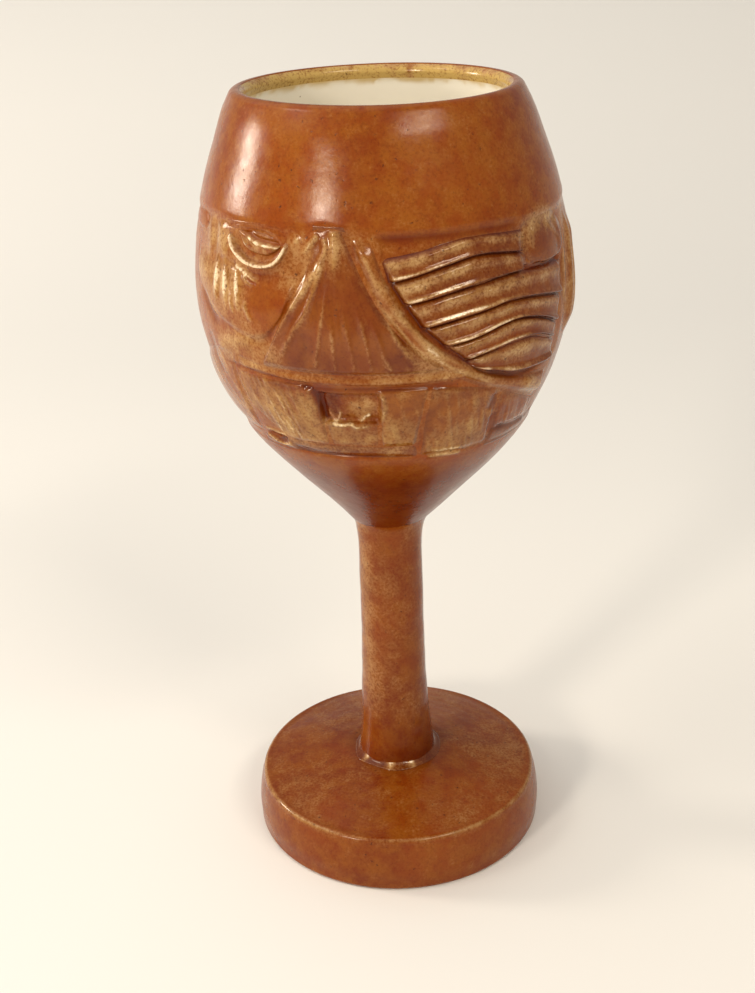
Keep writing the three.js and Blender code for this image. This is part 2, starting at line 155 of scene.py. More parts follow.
def spline(points: Line, share: Array) -> Array:
    """Read a Catmull-Rom curve that passes through all its points.

    Args:
        points: The curve's points.
        share: Places along it, from 0 to 1, even in the points' count. A little past the
            ends the curve runs on.

    Returns:
        One point for each place.
    """
    p = np.array(points, float)
    last = len(p) - 1
    place = share * last
    i = np.clip(np.floor(place).astype(int), 0, last - 1)
    t = (place - i)[:, None]
    before = p[np.where(i == 0, i, i - 1)]
    after = p[np.where(i > last - 2, last, i + 2)]
    near, far = p[i], p[i + 1]
    start, end = (far - before) / 2, (after - near) / 2
    return (
        (2 * near - 2 * far + start + end) * t**3
        + (-3 * near + 3 * far - 2 * start - end) * t**2
        + start * t
        + near
    )


def arc(radius: float, height: float, size: float, start: float, end: float, steps: int) -> Profile:
    """Give points on an arc of a turned section.

    Args:
        radius: The arc centre's distance from the axis, in mm.
        height: The arc centre's height, in mm.
        size: The arc's own radius, in mm.
        start: First angle, in degrees, 0 pointing out and 90 up.
        end: Last angle, in degrees.
        steps: Number of chords.

    Returns:
        (radius, height) points.
    """
    angles = np.radians(np.linspace(start, end, steps + 1))
    return [(radius + size * math.cos(a), height + size * math.sin(a)) for a in angles]


def only(piece: bpy.types.Object | None = None) -> None:
    """Select one object alone and make it active, or nothing at all."""
    bpy.ops.object.select_all(action="DESELECT")
    if piece is not None:
        piece.select_set(True)
        bpy.context.view_layer.objects.active = piece


def coordinates(piece: bpy.types.Object) -> Array:
    """Read a mesh's vertices as one row each, in mm.

    Args:
        piece: The mesh to read.

    Returns:
        One (x, y, z) row for each vertex.
    """
    places = np.empty(len(piece.data.vertices) * 3, np.float32)
    piece.data.vertices.foreach_get("co", places)
    return places.reshape(-1, 3).astype(float) / MM


def move_vertices(piece: bpy.types.Object, places: Array) -> None:
    """Put a mesh's vertices at new places, given in mm."""
    piece.data.vertices.foreach_set("co", (places * MM).astype(np.float32).ravel())
    piece.data.update()


def paint(piece: bpy.types.Object, name: str, values: Array) -> None:
    """Store one number per vertex, for a material to read.

    Args:
        piece: The mesh to store it on.
        name: The attribute's name.
        values: One number for each vertex.
    """
    layer = piece.data.attributes.new(name, "FLOAT", "POINT")
    layer.data.foreach_set("value", values.astype(np.float32))


def spin_section(name: str, section: Profile, steps: int) -> bpy.types.Object:
    """Turn a closed section round the goblet's axis, as on a wheel.

    Args:
        name: The new object's name.
        section: The section's (radius, height) outline in mm, bottom to top outside.
        steps: Facets round the body.

    Returns:
        The finished body, closed and with its faces outwards.
    """
    only()
    bpy.ops.mesh.primitive_circle_add(vertices=len(section), radius=MM, location=(0, 0, 0))
    piece = bpy.context.object
    piece.name = name
    radius, height = np.array(section).T
    move_vertices(piece, np.stack([np.zeros(len(radius)), -radius, height], -1))
    bpy.ops.object.mode_set(mode="EDIT")
    bpy.ops.mesh.select_all(action="SELECT")
    bpy.ops.mesh.spin(steps=steps, angle=2 * math.pi, center=(0, 0, 0), axis=(0, 0, 1))
    bpy.ops.mesh.select_all(action="SELECT")
    bpy.ops.mesh.remove_doubles(threshold=0.01 * MM)
    bpy.ops.mesh.delete_loose(use_verts=True, use_edges=True, use_faces=False)
    bpy.ops.mesh.select_all(action="SELECT")
    bpy.ops.mesh.normals_make_consistent(inside=False)
    bpy.ops.object.mode_set(mode="OBJECT")
    bpy.ops.object.shade_smooth()
    return piece


def clay_slab(name: str, along: int, across: int) -> bpy.types.Object:
    """Roll out a flat closed slab of clay, one unit square, to be laid on the bowl.

    Args:
        name: The new object's name.
        along: Cells along it (X).
        across: Cells across it (Y).

    Returns:
        The slab. Its front is at a height above zero, its back below.
    """
    only()
    bpy.ops.mesh.primitive_grid_add(
        x_subdivisions=along, y_subdivisions=across, size=MM, location=(0, 0, 0))
    piece = bpy.context.object
    piece.name = name
    thick = piece.modifiers.new("thickness", "SOLIDIFY")
    thick.thickness = MM
    thick.offset = 0
    bpy.ops.object.modifier_apply(modifier=thick.name)
    bpy.ops.object.shade_smooth()
    return piece


# The bowl's form


@dataclass(frozen=True)
class BowlForm:
    """Sizes of the thrown bowl, shared by its wall, its lining and the clay laid on it."""

    outside: Line = (
        (88, 10.4), (93, 14.9), (98, 19.6), (103, 24.3), (108.5, 29.1), (114, 33.2), (121.5, 37.2),
        (131, 40.9), (143, 43), (156, 42.3), (167, 40.2), (178.5, 36.6), (185.2, 34.2),
        (188.3, 32.7),
    )
    base: float = 86.6
    drift: Line = (
        (86, -0.3), (90, 0.1), (98, 0.32), (106, 0.42), (114, 0.25), (131, 0.14), (156, 0.04),
        (170, -0.05), (190, -0.22),
    )
    lip_height: float = 190.0
    lip_radius: float = 30.5
    lip_rounding: float = 1.95
    wall: float = 3.6
    floor: float = 96.0
    floor_spring: float = 104.0
    band_low: float = 115.8
    bed_depth: float = 0.58
    brow_line: Line = (
        (-90, 166.4), (-75, 166.8), (-60, 167.4), (-45, 167.2), (-30, 167.5), (-17, 167.6),
        (-6, 167.2), (2, 166.6), (15, 166.2), (35, 166.0), (52, 166.2), (70, 165.8), (90, 166.4),
    )
    cheek_line: Line = (
        (132, 34), (134.5, 29), (138, 24.5), (143, 15.8), (147.5, 9.6), (152.2, 4.9), (157, 1.3),
        (164, -1),
    )

    def radius(self, height: Array) -> Array:
        """Radius of the plain outside at a height."""
        return read_curve(self.outside, height)

    def lean(self, height: Array) -> Array:
        """Sideways drift of the hand-thrown bowl's middle at a height, in mm."""
        return read_curve(self.drift, height)

    def inside(self, height: float, inset: float) -> float:
        """Give the radius of the inside at a height.

        Args:
            height: Height in mm.
            inset: How far inside the clay's own surface, in mm.

        Returns:
            The radius in mm, closing to nothing at the floor.
        """
        top = max(height, self.floor_spring)
        slope = float(self.radius(top + 0.5) - self.radius(top - 0.5))
        radius = float(self.radius(top)) - (self.wall + inset) * math.hypot(1, slope)
        if height >= self.floor_spring:
            return radius
        depth = (self.floor_spring - height) / (self.floor_spring - self.floor - inset)
        return radius * math.sqrt(max(1 - depth * depth, 0))

    def face_angle(self, angle: Array) -> Array:
        """Angle from the middle of the nearer face, from -90 to 90."""
        return (angle + 90) % 180 - 90

    def brow(self, face: Array) -> Array:
        """Height of the brow's ledge at an angle on a face."""
        return read_curve(self.brow_line, face) + 0.6 * bell(-16.5, 8, face)

    def cut(self, angle: Array, height: Array) -> Array:
        """Give the depth of the cut-back band under the plain wall.

        Args:
            angle: Angle round the goblet, in degrees.
            height: Height in mm.

        Returns:
            Depth in mm, zero above the brow and below the mouth.
        """
        face = self.face_angle(angle)
        across = np.radians(face) * GIRTH
        inside_band = smooth(0.7, -1.9, height - self.brow(face))
        inside_band = inside_band * smooth(-0.9, 0.6, height - self.band_low)
        depth = self.bed_depth + 0.08 * clay_noise(across, height, 5, 7)
        depth = depth - 0.28 * smooth(145, 139, height) * smooth(72, 60, np.abs(face))
        depth = depth - 0.35 * smooth(66, 88, np.abs(face)) * bell(152, 34, height)
        left = read_curve(self.cheek_line, height)
        cheek = smooth(left - 0.6, left + 1.2, face) * smooth(67, 63, face)
        depth = depth + 0.45 * cheek * smooth(132.8, 134.4, height) * smooth(164.9, 163.2, height)
        socket = np.hypot((face + 39.6) / 9.8, (height - 162.4) / 3.3)
        depth = depth + 0.55 * smooth(1.15, 0.75, socket)
        torn = clay_noise(across, height, 1.7, 11) + 0.5 * clay_noise(across, height, 0.8, 12)
        gap = 1.35 + 0.04 * (133 - height) + 0.22 * torn
        return depth * inside_band + self.hole(face, height) * gap

    def hole(self, face: Array, height: Array) -> Array:
        """Share of the gap where a tooth is missing at places on a face."""
        across = smooth(-21.8, -20.2, face) * smooth(-1.6, -3.4, face)
        return across * smooth(124.8, 126.2, height) * smooth(133.6, 132, height)

    def place(self, angle: Array, height: Array, rise: Array) -> Array:
        """Give the point that stands a rise over the plain outside.

        Args:
            angle: Angle round the goblet, in degrees.
            height: Height in mm.
            rise: Distance outside the plain wall, in mm.

        Returns:
            One (x, y, z) row for each place, in mm.
        """
        radius = self.radius(height) + rise
        turn = np.radians(angle)
        across = radius * np.sin(turn) + self.lean(height)
        return np.stack([across, -radius * np.cos(turn), height], -1)


FORM = BowlForm()


# The carving shared by the wall and the clay laid on it


@dataclass(frozen=True)
class Stroke:
    """One stroke of the modelling tool: a rounded ridge or groove along a curve.

    The curve runs through (angle, height) points. A groove has a negative rise, which the
    wall and the pieces also paint darker, as shade. The tan share says how far the glaze
    breaks over the stroke, and fades with it; on the brightest ridges and rims it runs high
    and also paints a cream highlight.
    """

    points: Line
    width: float
    rise: float
    tan: float = 0.0
    fade: tuple[float, float] = (0.2, 0.3)

    def read(self, face: Array, height: Array) -> tuple[Array, Array]:
        """Read the stroke at places on a face.

        Args:
            face: Angles from the face's middle, in degrees.
            height: Heights in mm.

        Returns:
            The rise in mm and the share of broken glaze it adds.
        """
        strength = np.zeros(len(face))
        shares = np.linspace(0, 1, 6 * len(self.points))
        line = spline(self.points, shares) * GAUGE
        across = np.radians(face) * GIRTH
        low, high = line.min(0) - self.width * 1.3, line.max(0) + self.width * 1.3
        near = (across > low[0]) & (across < high[0]) & (height > low[1]) & (height < high[1])
        spots = np.stack([across[near], height[near]], -1)
        if len(spots):
            start, step = line[:-1], np.diff(line, axis=0)
            away = spots[:, None] - start
            along = np.clip((away * step).sum(-1) / (step * step).sum(-1), 0, 1)
            gap = np.linalg.norm(away - along[..., None] * step, axis=-1)
            best = gap.argmin(1)
            rows = np.arange(len(best))
            run = (best + along[rows, best]) / len(step)
            ends = smooth(0, self.fade[0], run) * smooth(1, 1 - self.fade[1], run)
            strength[near] = bell(0, self.width, gap[rows, best]) * ends
        return self.rise * strength, self.tan * strength


@dataclass(frozen=True)
class Bloom:
    """A soft patch where the glaze breaks more, or less, to tan."""

    angle: float
    height: float
    reach: tuple[float, float]
    tan: float

    def read(self, face: Array, height: Array) -> Array:
        """Share of broken glaze that the patch adds at places on a face."""
        away = np.hypot((face - self.angle) / self.reach[0], (height - self.height) / self.reach[1])
        return self.tan * smooth(1.25, 0.45, away)


@dataclass(frozen=True)
class Carving:
    """Every stroke and patch of glaze that one face has."""

    eye_and_brow: tuple[Stroke, ...] = (
        # Painted highlights: the high tan shares on the ridges beside the nose and on its bridge paint their
        # lit crests cream, as well as glaze breaking on them.
        Stroke(((-18.6, 166.2), (-20.4, 164.5), (-23.4, 162)), 1.2, 0.42, 0.9, (0.2, 0.4)),
        Stroke(((-24.9, 165.5), (-25.9, 164)), 1.0, 0.25, 0.5),
        Stroke(((-13.9, 167.2), (-13.8, 164), (-13.7, 160), (-13.4, 156)), 2.4, 0.45, 0.75, (0.1, 0.5)),
        Stroke(((-12, 167), (-9, 163), (-7, 160)), 2.6, -0.25, 0.1, (0.1, 0.4)),
        # Painted shade: the cove under the brow is dug, kept brown and darkened with its depth.
        Stroke(((-3, 165.2), (10, 165.3), (28, 165.6), (46, 165.2)), 2.0, -0.5, -0.4, (0.15, 0.15)),
        Stroke(((-51, 158.6), (-44, 157), (-36, 156.8), (-28, 159)), 2.2, -0.28, -0.1),
        Stroke(((-56, 166), (-55.4, 162), (-53.2, 158.6)), 3.4, 0.3, 0.25),
        Stroke(((-64, 166), (-63, 161), (-61.5, 157)), 3.4, 0.2, 0.1),
        Stroke(((-59.8, 166), (-59.5, 161.5), (-59.5, 158)), 1.8, -0.2),
    )
    nose: tuple[Stroke, ...] = (
        # The first two strokes' high tan shares also paint the lit crests of the ridges along the nose's left
        # edge as cream highlights.
        Stroke(((-17, 166), (-16.3, 163.1), (-18.2, 160.1), (-20, 157.8), (-22.6, 155.1), (-26.1, 151.7),
                (-30.6, 146.6), (-35, 141)), 1.4, 0.42, 0.75, (0.06, 0.2)),
        Stroke(((-17.2, 161), (-18, 158.6), (-19.3, 155.7), (-22.1, 150.7), (-25.6, 146.8), (-28.6, 142.8),
                (-31, 140)), 1.3, 0.4, 0.6, (0.15, 0.2)),
        Stroke(((-16, 157), (-17, 151), (-18.4, 145), (-20, 138.4)), 1.1, 0.26, 0.6, (0.35, 0.1)),
        Stroke(((-14.6, 149.5), (-14.4, 144), (-14.1, 138.2)), 1.1, 0.26, 0.6, (0.35, 0.1)),
        Stroke(((-11.8, 153.5), (-10.5, 147), (-9.3, 142), (-8.7, 138.2)), 1.1, 0.26, 0.6, (0.35, 0.1)),
        Stroke(((-8.2, 154), (-6.2, 148), (-5, 143), (-3.9, 138.2)), 1.1, 0.26, 0.6, (0.35, 0.1)),
        Stroke(((-4.8, 151.5), (-2.2, 146.2), (-0.4, 142), (1.6, 138.2)), 1.1, 0.26, 0.6, (0.35, 0.1)),
        Stroke(((-0.2, 150), (2.4, 146), (5, 142.8), (9.2, 138.6)), 1.0, 0.22, 0.5, (0.25, 0.3)),
        Stroke(((-2, 153.5), (2, 149.2), (7.2, 144), (13.4, 139)), 1.0, 0.22, 0.5, (0.25, 0.3)),
        Stroke(((-8.6, 158.5), (-5.4, 154.6), (-1.4, 150.4), (3, 146)), 1.3, -0.16, 0.1),
        Stroke(((-23.5, 147), (-22.2, 143), (-22.6, 139.4)), 2.2, -0.16, 0.15),
    )
    fold: tuple[Stroke, ...] = (
        Stroke(((-8, 166), (-5.4, 163), (-3, 159.8), (-0.2, 155.5), (3.2, 151), (7.2, 147.2), (11.2, 143.4),
                (17, 138.9), (23.4, 135.6)), 1.7, 0.25, 0.4, (0.15, 0.2)),
        Stroke(((-5.6, 158.6), (-2.8, 154), (0, 150.6), (3.4, 147)), 0.9, 0.16, 0.25),
        Stroke(((0.2, 159), (2.8, 155.4), (6.7, 150.8), (11.3, 146.1), (16.1, 142.9), (22.2, 139.5),
                (28.9, 136.9)), 1.4, -0.5, -0.4, (0.2, 0.15)),
        Stroke(((30, 136.4), (36, 134), (42, 132.9), (50, 132.8), (57, 133)), 1.7, -0.6, -0.4, (0.15, 0.3)),
        Stroke(((45.2, 130.9), (50, 129.2), (54, 127.7), (57.6, 126.2)), 2.6, 0.5, 0.4, (0.25, 0.2)),
        Stroke(((20, 137.2), (27, 134.8), (33, 131.8), (38, 128.8)), 1.4, 0.2, 0.25),
    )
    pad: tuple[Stroke, ...] = (
        # The tear ridges: their tan shares paint cream highlights along their lit middles, as well as glaze
        # breaking on them.
        Stroke(((-58.4, 161), (-57.2, 156), (-56.8, 152), (-56.6, 147.6)), 1.4, 0.34, 0.75, (0.5, 0.5)),
        Stroke(((-54.2, 160.8), (-52.7, 155.4), (-51.6, 151.1), (-50.8, 147.6)), 1.4, 0.36, 0.8, (0.5, 0.5)),
        Stroke(((-48.2, 158.8), (-47, 155), (-46, 151), (-45.3, 148.4)), 1.3, 0.36, 0.8, (0.45, 0.4)),
        Stroke(((-50.2, 152.8), (-48.7, 150), (-47.4, 147.4)), 0.9, 0.26, 0.6, (0.4, 0.4)),
        Stroke(((-43, 151.4), (-42.2, 149.4), (-40.8, 147.6), (-38.6, 146.6)), 1.0, 0.24, 0.6, (0.3, 0.4)),
        Stroke(((-48.8, 158), (-44, 156.8), (-41, 155.8), (-37.2, 155.5)), 1.0, 0.34, 1.0, (0.15, 0.3)),
        Stroke(((-44.2, 156.4), (-42.4, 155), (-39.2, 154.5)), 0.8, 0.26, 0.7),
        Stroke(((-43.2, 156), (-41, 155.3), (-38.8, 155)), 0.7, -0.3, -0.6),
        Stroke(((-56, 157.4), (-55.4, 153), (-54.4, 149.6)), 1.2, -0.22),
        Stroke(((-50.8, 156.6), (-50.2, 152.6), (-49.8, 149.6)), 1.4, -0.2),
        Stroke(((-72.5, 153), (-66.4, 150.2), (-62, 147.8), (-57.5, 146.1), (-51, 144.4)), 0.9, 0.3, 0.35,
               (0.2, 0.3)),
        Stroke(((-70, 150.4), (-65, 147.6), (-61, 145.2), (-56, 143.6)), 2.6, -0.35, -0.15),
        Stroke(((-44, 142.9), (-39, 142.6), (-35, 143.8), (-31.6, 146.4)), 1.6, -0.25, 0.1),
    )
    mouth: tuple[Stroke, ...] = (
        Stroke(((-58, 136), (-50, 135.5), (-40, 135.6), (-30, 134.8), (-22, 134.4)), 1.0, -0.32, -0.25,
               (0.3, 0.1)),
        Stroke(((-26, 133.8), (-14, 133.9), (0, 134.2), (12, 134.1), (24, 133.7)), 1.2, -0.55, -0.5,
               (0.05, 0.2)),
        Stroke(((-60, 138.4), (-53, 140.6), (-46, 142), (-38, 142)), 3.0, 0.3, 0.3),
        Stroke(((-37, 133.4), (-30, 133.2), (-24, 133.4)), 1.2, -0.2, -0.3),
        Stroke(((-2, 132.8), (-1, 131.2), (-1, 128.8), (-2.2, 125.6)), 0.9, 0.3, 0.7, (0.1, 0.2)),
        # Painted highlights: the stump's torn rim and the shards above it get cream glints from their high tan
        # shares.
        Stroke(((-19, 125.2), (-14.4, 124.9), (-12, 125.3), (-9.4, 124.4), (-4, 125.7)), 1.0, 0.34, 1.0,
               (0.15, 0.25)),
        Stroke(((-19, 128.6), (-18, 126.4), (-15.8, 125.4)), 0.9, 0.4, 1.3),
        Stroke(((-15.2, 128.2), (-15.8, 126.8), (-16.6, 125.8)), 0.7, 0.4, 1.2),
        Stroke(((-9.4, 125.4), (-6.8, 127), (-5.2, 127.4)), 0.9, 0.3, 1.0),
        Stroke(((14.6, 130.4), (12.4, 124.5), (11, 120), (9.8, 117.4)), 2.8, -0.3, -0.3),
        # Painted shade: the gap's left wall is kept dark brown by a negative tan share and by its depth.
        Stroke(((-22.4, 133.4), (-21.4, 131.4), (-20.8, 128.6), (-20.4, 125.8)), 1.8, -0.55, -0.8, (0.1, 0.2)),
        Stroke(((35.2, 129.6), (34.4, 127.2), (33.8, 125)), 2.0, -0.4, -0.4),
        Stroke(((35.6, 124), (37, 121.4), (39, 118.4)), 2.4, -0.3, -0.3),
        # Painted highlights: cream lines along the third tooth's lower lip.
        Stroke(((13.4, 115.5), (20, 115.4), (27.4, 115.1)), 0.9, 0.4, 1.2, (0.15, 0.15)),
        Stroke(((14.6, 117.1), (20, 116.9), (26.6, 116.7)), 0.8, 0.25, 0.7, (0.1, 0.1)),
        # The almond notch by the lower lip: dug and dark inside, its rims painted with cream highlights.
        Stroke(((-48.4, 118.5), (-44, 118.1), (-38.6, 118)), 1.9, -0.5, -0.6, (0.2, 0.2)),
        Stroke(((-48.8, 120), (-43.4, 119.7), (-38.6, 119.4)), 0.7, 0.3, 1.0, (0.1, 0.1)),
        Stroke(((-50.4, 118), (-45.1, 116.7), (-40.6, 116.6), (-37, 117.4)), 0.8, 0.45, 1.1, (0.1, 0.2)),
        Stroke(((-37, 116.6), (-24, 116.3), (-10, 116.1), (8, 116.2)), 1.3, -0.35, -0.5, (0.1, 0.3)),
        Stroke(((38, 120.4), (48, 118.6), (58, 118.4), (70, 118.2)), 1.8, -0.4, -0.4, (0.2, 0.1)),
    )
    sides: tuple[Stroke, ...] = (
        Stroke(((44, 155.9), (50, 155.2), (58, 154.6), (67, 154.9)), 1.1, -0.5, -0.3, (0.05, 0.15)),
        Stroke(((70.5, 157), (68.6, 152), (68.4, 147), (69.6, 142)), 1.2, 0.3, 0.3),
        Stroke(((67, 156), (66.6, 151), (67, 146.5), (70, 141.6)), 1.2, -0.3, -0.1),
        Stroke(((58, 163.6), (62.6, 161), (66, 157.4)), 1.4, 0.12, 0.25),
        Stroke(((-66, 141), (-64, 136), (-60, 130)), 4.0, -0.25, -0.2),
    )
    blooms: tuple[Bloom, ...] = (
        Bloom(-57, 156, (18, 9), 0.33), Bloom(-60, 164, (14, 4), 0.3), Bloom(-35, 150.5, (8, 5.5), -0.75),
        Bloom(-44, 139.5, (16, 5), 0.36), Bloom(-60, 130, (13, 11), 0.2), Bloom(-33, 126, (19, 8), 0.38),
        Bloom(-12, 122, (10, 4), 0.2), Bloom(-8, 129, (5.5, 3), 0.5), Bloom(5, 122, (8, 5), 0.3),
        Bloom(15, 132, (9, 1.6), 0.35), Bloom(24, 119, (14, 5), 0.3), Bloom(30, 126, (14, 6), 0.12),
        Bloom(-10, 146, (17, 11), -0.26),
        Bloom(2, 153, (7, 8), 0.15), Bloom(16, 140, (12, 5), 0.25), Bloom(56, 164.6, (11, 3), 0.4),
        Bloom(48, 161, (5, 3), 0.3), Bloom(-25, 160, (7, 6), 0.3), Bloom(-40, 158.5, (12, 2.6), 0.15),
        Bloom(76, 150, (10, 16), 0.3), Bloom(0, 136.6, (26, 1.8), 0.2), Bloom(52, 128, (7, 3), 0.4),
    )

    def read(self, angle: Array, height: Array) -> tuple[Array, Array]:
        """Read the whole carving.

        Args:
            angle: Angles round the goblet, in degrees.
            height: Heights in mm.

        Returns:
            The rise in mm and the share of broken glaze.
        """
        face = FORM.face_angle(angle)
        rise, tan = np.zeros(len(face)), np.zeros(len(face))
        for group in (self.eye_and_brow, self.nose, self.fold, self.pad, self.mouth, self.sides):
            for stroke in group:
                more_rise, more_tan = stroke.read(face, height)
                rise, tan = rise + more_rise, tan + more_tan
        for bloom in self.blooms:
            tan = tan + bloom.read(face, height)
        return rise, tan


CARVING = Carving()


# Finishes


def linear(colour: str) -> tuple[float, float, float, float]:
    """Turn an sRGB hex colour into the linear one that shaders use.

    Args:
        colour: The colour as "#rrggbb".

    Returns:
        Red, green, blue and an opaque alpha.
    """
    parts = [int(colour[i:i + 2], 16) / 255 for i in (1, 3, 5)]
    made = [c / 12.92 if c <= 0.04045 else ((c + 0.055) / 1.055) ** 2.4 for c in parts]
    return (*made, 1.0)


SMOOTH = {"interpolation_type": "SMOOTHSTEP"}
SCALE = {"operation": "MULTIPLY_ADD"}
COLOURS = {"output": 2, "data_type": "RGBA"}
FIRST, SECOND = 6, 7  # a colour mix's inputs for its two colours


def feed(node: bpy.types.Node, inputs: dict[str | int, object]) -> None:
    """Set each named input of a node to a value, or link it to the socket given for it."""
    for name, value in inputs.items():
        if isinstance(value, bpy.types.NodeSocket):
            node.id_data.links.new(value, node.inputs[name])
        else:
            node.inputs[name].default_value = value


def add_node(tree: bpy.types.NodeTree, kind: str, inputs: dict[str | int, object] | None = None,
             output: str | int = 0, **settings: object) -> bpy.types.NodeSocket:
    """Add a shader node with its settings and links.

    Args:
        tree: The material's node tree.
        kind: Blender's node type, without its leading "ShaderNode".
        inputs: Each input's value, or the output socket that feeds it.
        output: Which of its outputs to give back.
        **settings: Properties of the node.

    Returns:
        The new node's output socket.
    """
    node = tree.nodes.new(f"ShaderNode{kind}")
    for name, value in settings.items():
        setattr(node, name, value)
    feed(node, inputs or {})
    return node.outputs[output]


def per_mm(size: float) -> float:
    """Texture scale whose pattern repeats about every `size` mm."""
    return 1 / (size * MM)


Adder = Callable[..., bpy.types.NodeSocket]


def scatter_specks(add: Adder, place: bpy.types.NodeSocket, spacing: float, share: float,
                   size: float, edge: tuple[float, float], strength: float) -> bpy.types.NodeSocket:
    """Scatter round specks of mixed sizes, at most one in each cell of an uneven net.

    Args:
        add: Adds a node to the material.
        place: The places to read.
        spacing: Distance between the cells' middles, in mm.
        share: Share of the cells that hold a speck.
        size: Radius of the largest specks, in cells.
        edge: Where a speck's soft edge starts and ends, in cells outside that radius.
        strength: Share of the speck's own colour at its middle.

    Returns:
        The share of the specks' colour at each place.
    """
    chance = add("TexVoronoi", {"Vector": place, "Scale": per_mm(spacing), "Randomness": 1.0}, "Color")
    middle = chance.node.outputs["Distance"]
    chance = add("SeparateColor", {"Color": chance}, "Red")
    radius = add("MapRange", {
        "Value": chance, "From Min": 1 - share, "From Max": 1.0, "To Max": size}, **SMOOTH)
    past = add("Math", {0: middle, 1: radius}, operation="SUBTRACT")
    return add("MapRange", {
        "Value": past, "From Min": edge[0], "From Max": edge[1], "To Max": strength}, **SMOOTH)


@dataclass(frozen=True)
class IronGlaze:
    """Satin iron glaze on speckled stoneware, fired in reduction.

    Thick, it is a red brown with cloudy lighter patches. Thin, on ridges and in scraped
    hollows, it breaks to tan. Its palest cream, where the tan share runs highest, paints
    highlights on crests and glints. A darkening tint paints glaze pooled in hollows together
    with shade in grooves, gaps and corners. Iron in the clay bleeds through as dark specks.
    The sizes of its patterns are in mm.
    """

    name: str
    body: str = "#8b4007"
    deep: str = "#7b3304"
    cloud: str = "#935413"
    broken: str = "#986832"
    bleached: str = "#b88f5c"
    golden: str = "#ead2ac"
    speck: str = "#421c08"
    fleck: str = "#a0683c"
    pool_and_shade_tint: str = "#b07a55"
    shine: str = "#fff7ee"
    speck_share: float = 0.34
    speck_spacing: float = 1.3
    cloud_size: float = 26.0
    mottle_size: float = 4.5
    break_size: float = 2.4
    grain_size: float = 0.6
    streaks: float = 0.0
    streak_width: float = 0.8
    streak_length: float = 9.0
    peel_size: float = 1.6
    peel_depth: float = 0.07
    break_start: float = 0.9
    roughness: float = 0.23
    ior: float = 1.34

    def make(self) -> bpy.types.Material:
        """Build the material.

        Returns:
            A material that reads the attribute "tan", the share of broken glaze, whose highest
            values paint cream highlights, and a second attribute for glaze pooled dark in hollows
            together with painted shade in grooves, gaps and corners.
        """
        material = bpy.data.materials.new(self.name)
        material.use_nodes = True
        add = partial(add_node, material.node_tree)
        place = add("TexCoord", output="Object")

        # Thick glaze: broad clouds and a finer mottle
        clouds = add("TexNoise", {"Vector": place, "Scale": per_mm(self.cloud_size), "Detail": 3})
        clouds = add("MapRange", {"Value": clouds, "From Min": 0.32, "From Max": 0.68}, **SMOOTH)
        mottle = add("TexNoise", {
            "Vector": place, "Scale": per_mm(self.mottle_size), "Detail": 6, "Roughness": 0.62})
        mottle = add("MapRange", {"Value": mottle, "From Min": 0.34, "From Max": 0.66}, **SMOOTH)
        grain = add("TexNoise", {
            "Vector": place, "Scale": per_mm(self.grain_size), "Detail": 3, "Roughness": 0.65})
        colour = add("Mix", {0: clouds, FIRST: linear(self.deep), SECOND: linear(self.body)}, **COLOURS)
        share = add("Math", {0: mottle, 1: 0.7, 2: 0.0}, **SCALE)
        colour = add("Mix", {0: share, FIRST: colour, SECOND: linear(self.cloud)}, **COLOURS)

        # Thin glaze: the painted share, torn by noise, breaks to tan and then to gold; the highest shares, on
        # ridge crests and glints, are painted highlights in that cream gold
        tan = add("Attribute", output="Fac", attribute_name="tan")
        ragged = add("TexNoise", {
            "Vector": place, "Scale": per_mm(self.break_size), "Detail": 5, "Roughness": 0.65})
        share = add("Math", {0: grain, 1: 0.8, 2: 0.0}, **SCALE)
        ragged = add("Math", {0: ragged, 1: 0.8, 2: share}, **SCALE)
        if self.streaks:
            wide, long = per_mm(self.streak_width), per_mm(self.streak_length)
            drawn = add("Mapping", {"Vector": place, "Scale": (wide, wide, long)})
            brush = add("TexNoise", {"Vector": drawn, "Scale": 1.0, "Detail": 4.0})
            ragged = add("Math", {0: brush, 1: self.streaks, 2: ragged}, **SCALE)
        start = self.break_start + 0.5 * self.streaks
        thinness = add("Math", {0: tan, 1: 1.0, 2: ragged}, **SCALE)
        broken = add("MapRange", {
            "Value": thinness, "From Min": start - 0.1, "From Max": start + 0.95}, **SMOOTH)
        bare = add("Mix", {0: mottle, FIRST: linear(self.broken), SECOND: linear(self.bleached)}, **COLOURS)
        colour = add("Mix", {0: broken, FIRST: colour, SECOND: bare}, **COLOURS)
        thin = add("MapRange", {
            "Value": thinness, "From Min": start + 0.85, "From Max": start + 1.5}, **SMOOTH)
        colour = add("Mix", {0: thin, FIRST: colour, SECOND: linear(self.golden)}, **COLOURS)

        # Flecks, pooled glaze with painted shade, and iron specks up to 0.6 mm wide
        flecks = add("MapRange", {
            "Value": grain, "From Min": 0.52, "From Max": 0.3, "To Max": 0.75}, **SMOOTH)
        share = add("Math", {0: broken, 1: 0.4, 2: 0.4}, **SCALE)
        flecks = add("Math", {0: flecks, 1: share}, operation="MULTIPLY")
        colour = add("Mix", {0: flecks, FIRST: colour, SECOND: linear(self.fleck)},
                     blend_type="MULTIPLY", **COLOURS)
        pool_and_shade = add("Attribute", output="Fac", attribute_name="pool_and_shade")
        colour = add("Mix", {0: pool_and_shade, FIRST: colour, SECOND: linear(self.pool_and_shade_tint)},
                     blend_type="MULTIPLY", **COLOURS)
        jitter = add("TexNoise", {
            "Vector": place, "Scale": per_mm(self.grain_size), "Detail": 3}, "Color")
        bent = add("VectorMath", {0: jitter, 1: (self.speck_spacing * MM,) * 3, 2: place}, **SCALE)
        specks = scatter_specks(
            add, bent, self.speck_spacing, self.speck_share, 0.24, (0.04, -0.16), 0.8)
        colour = add("Mix", {0: specks, FIRST: colour, SECOND: linear(self.speck)}, **COLOURS)

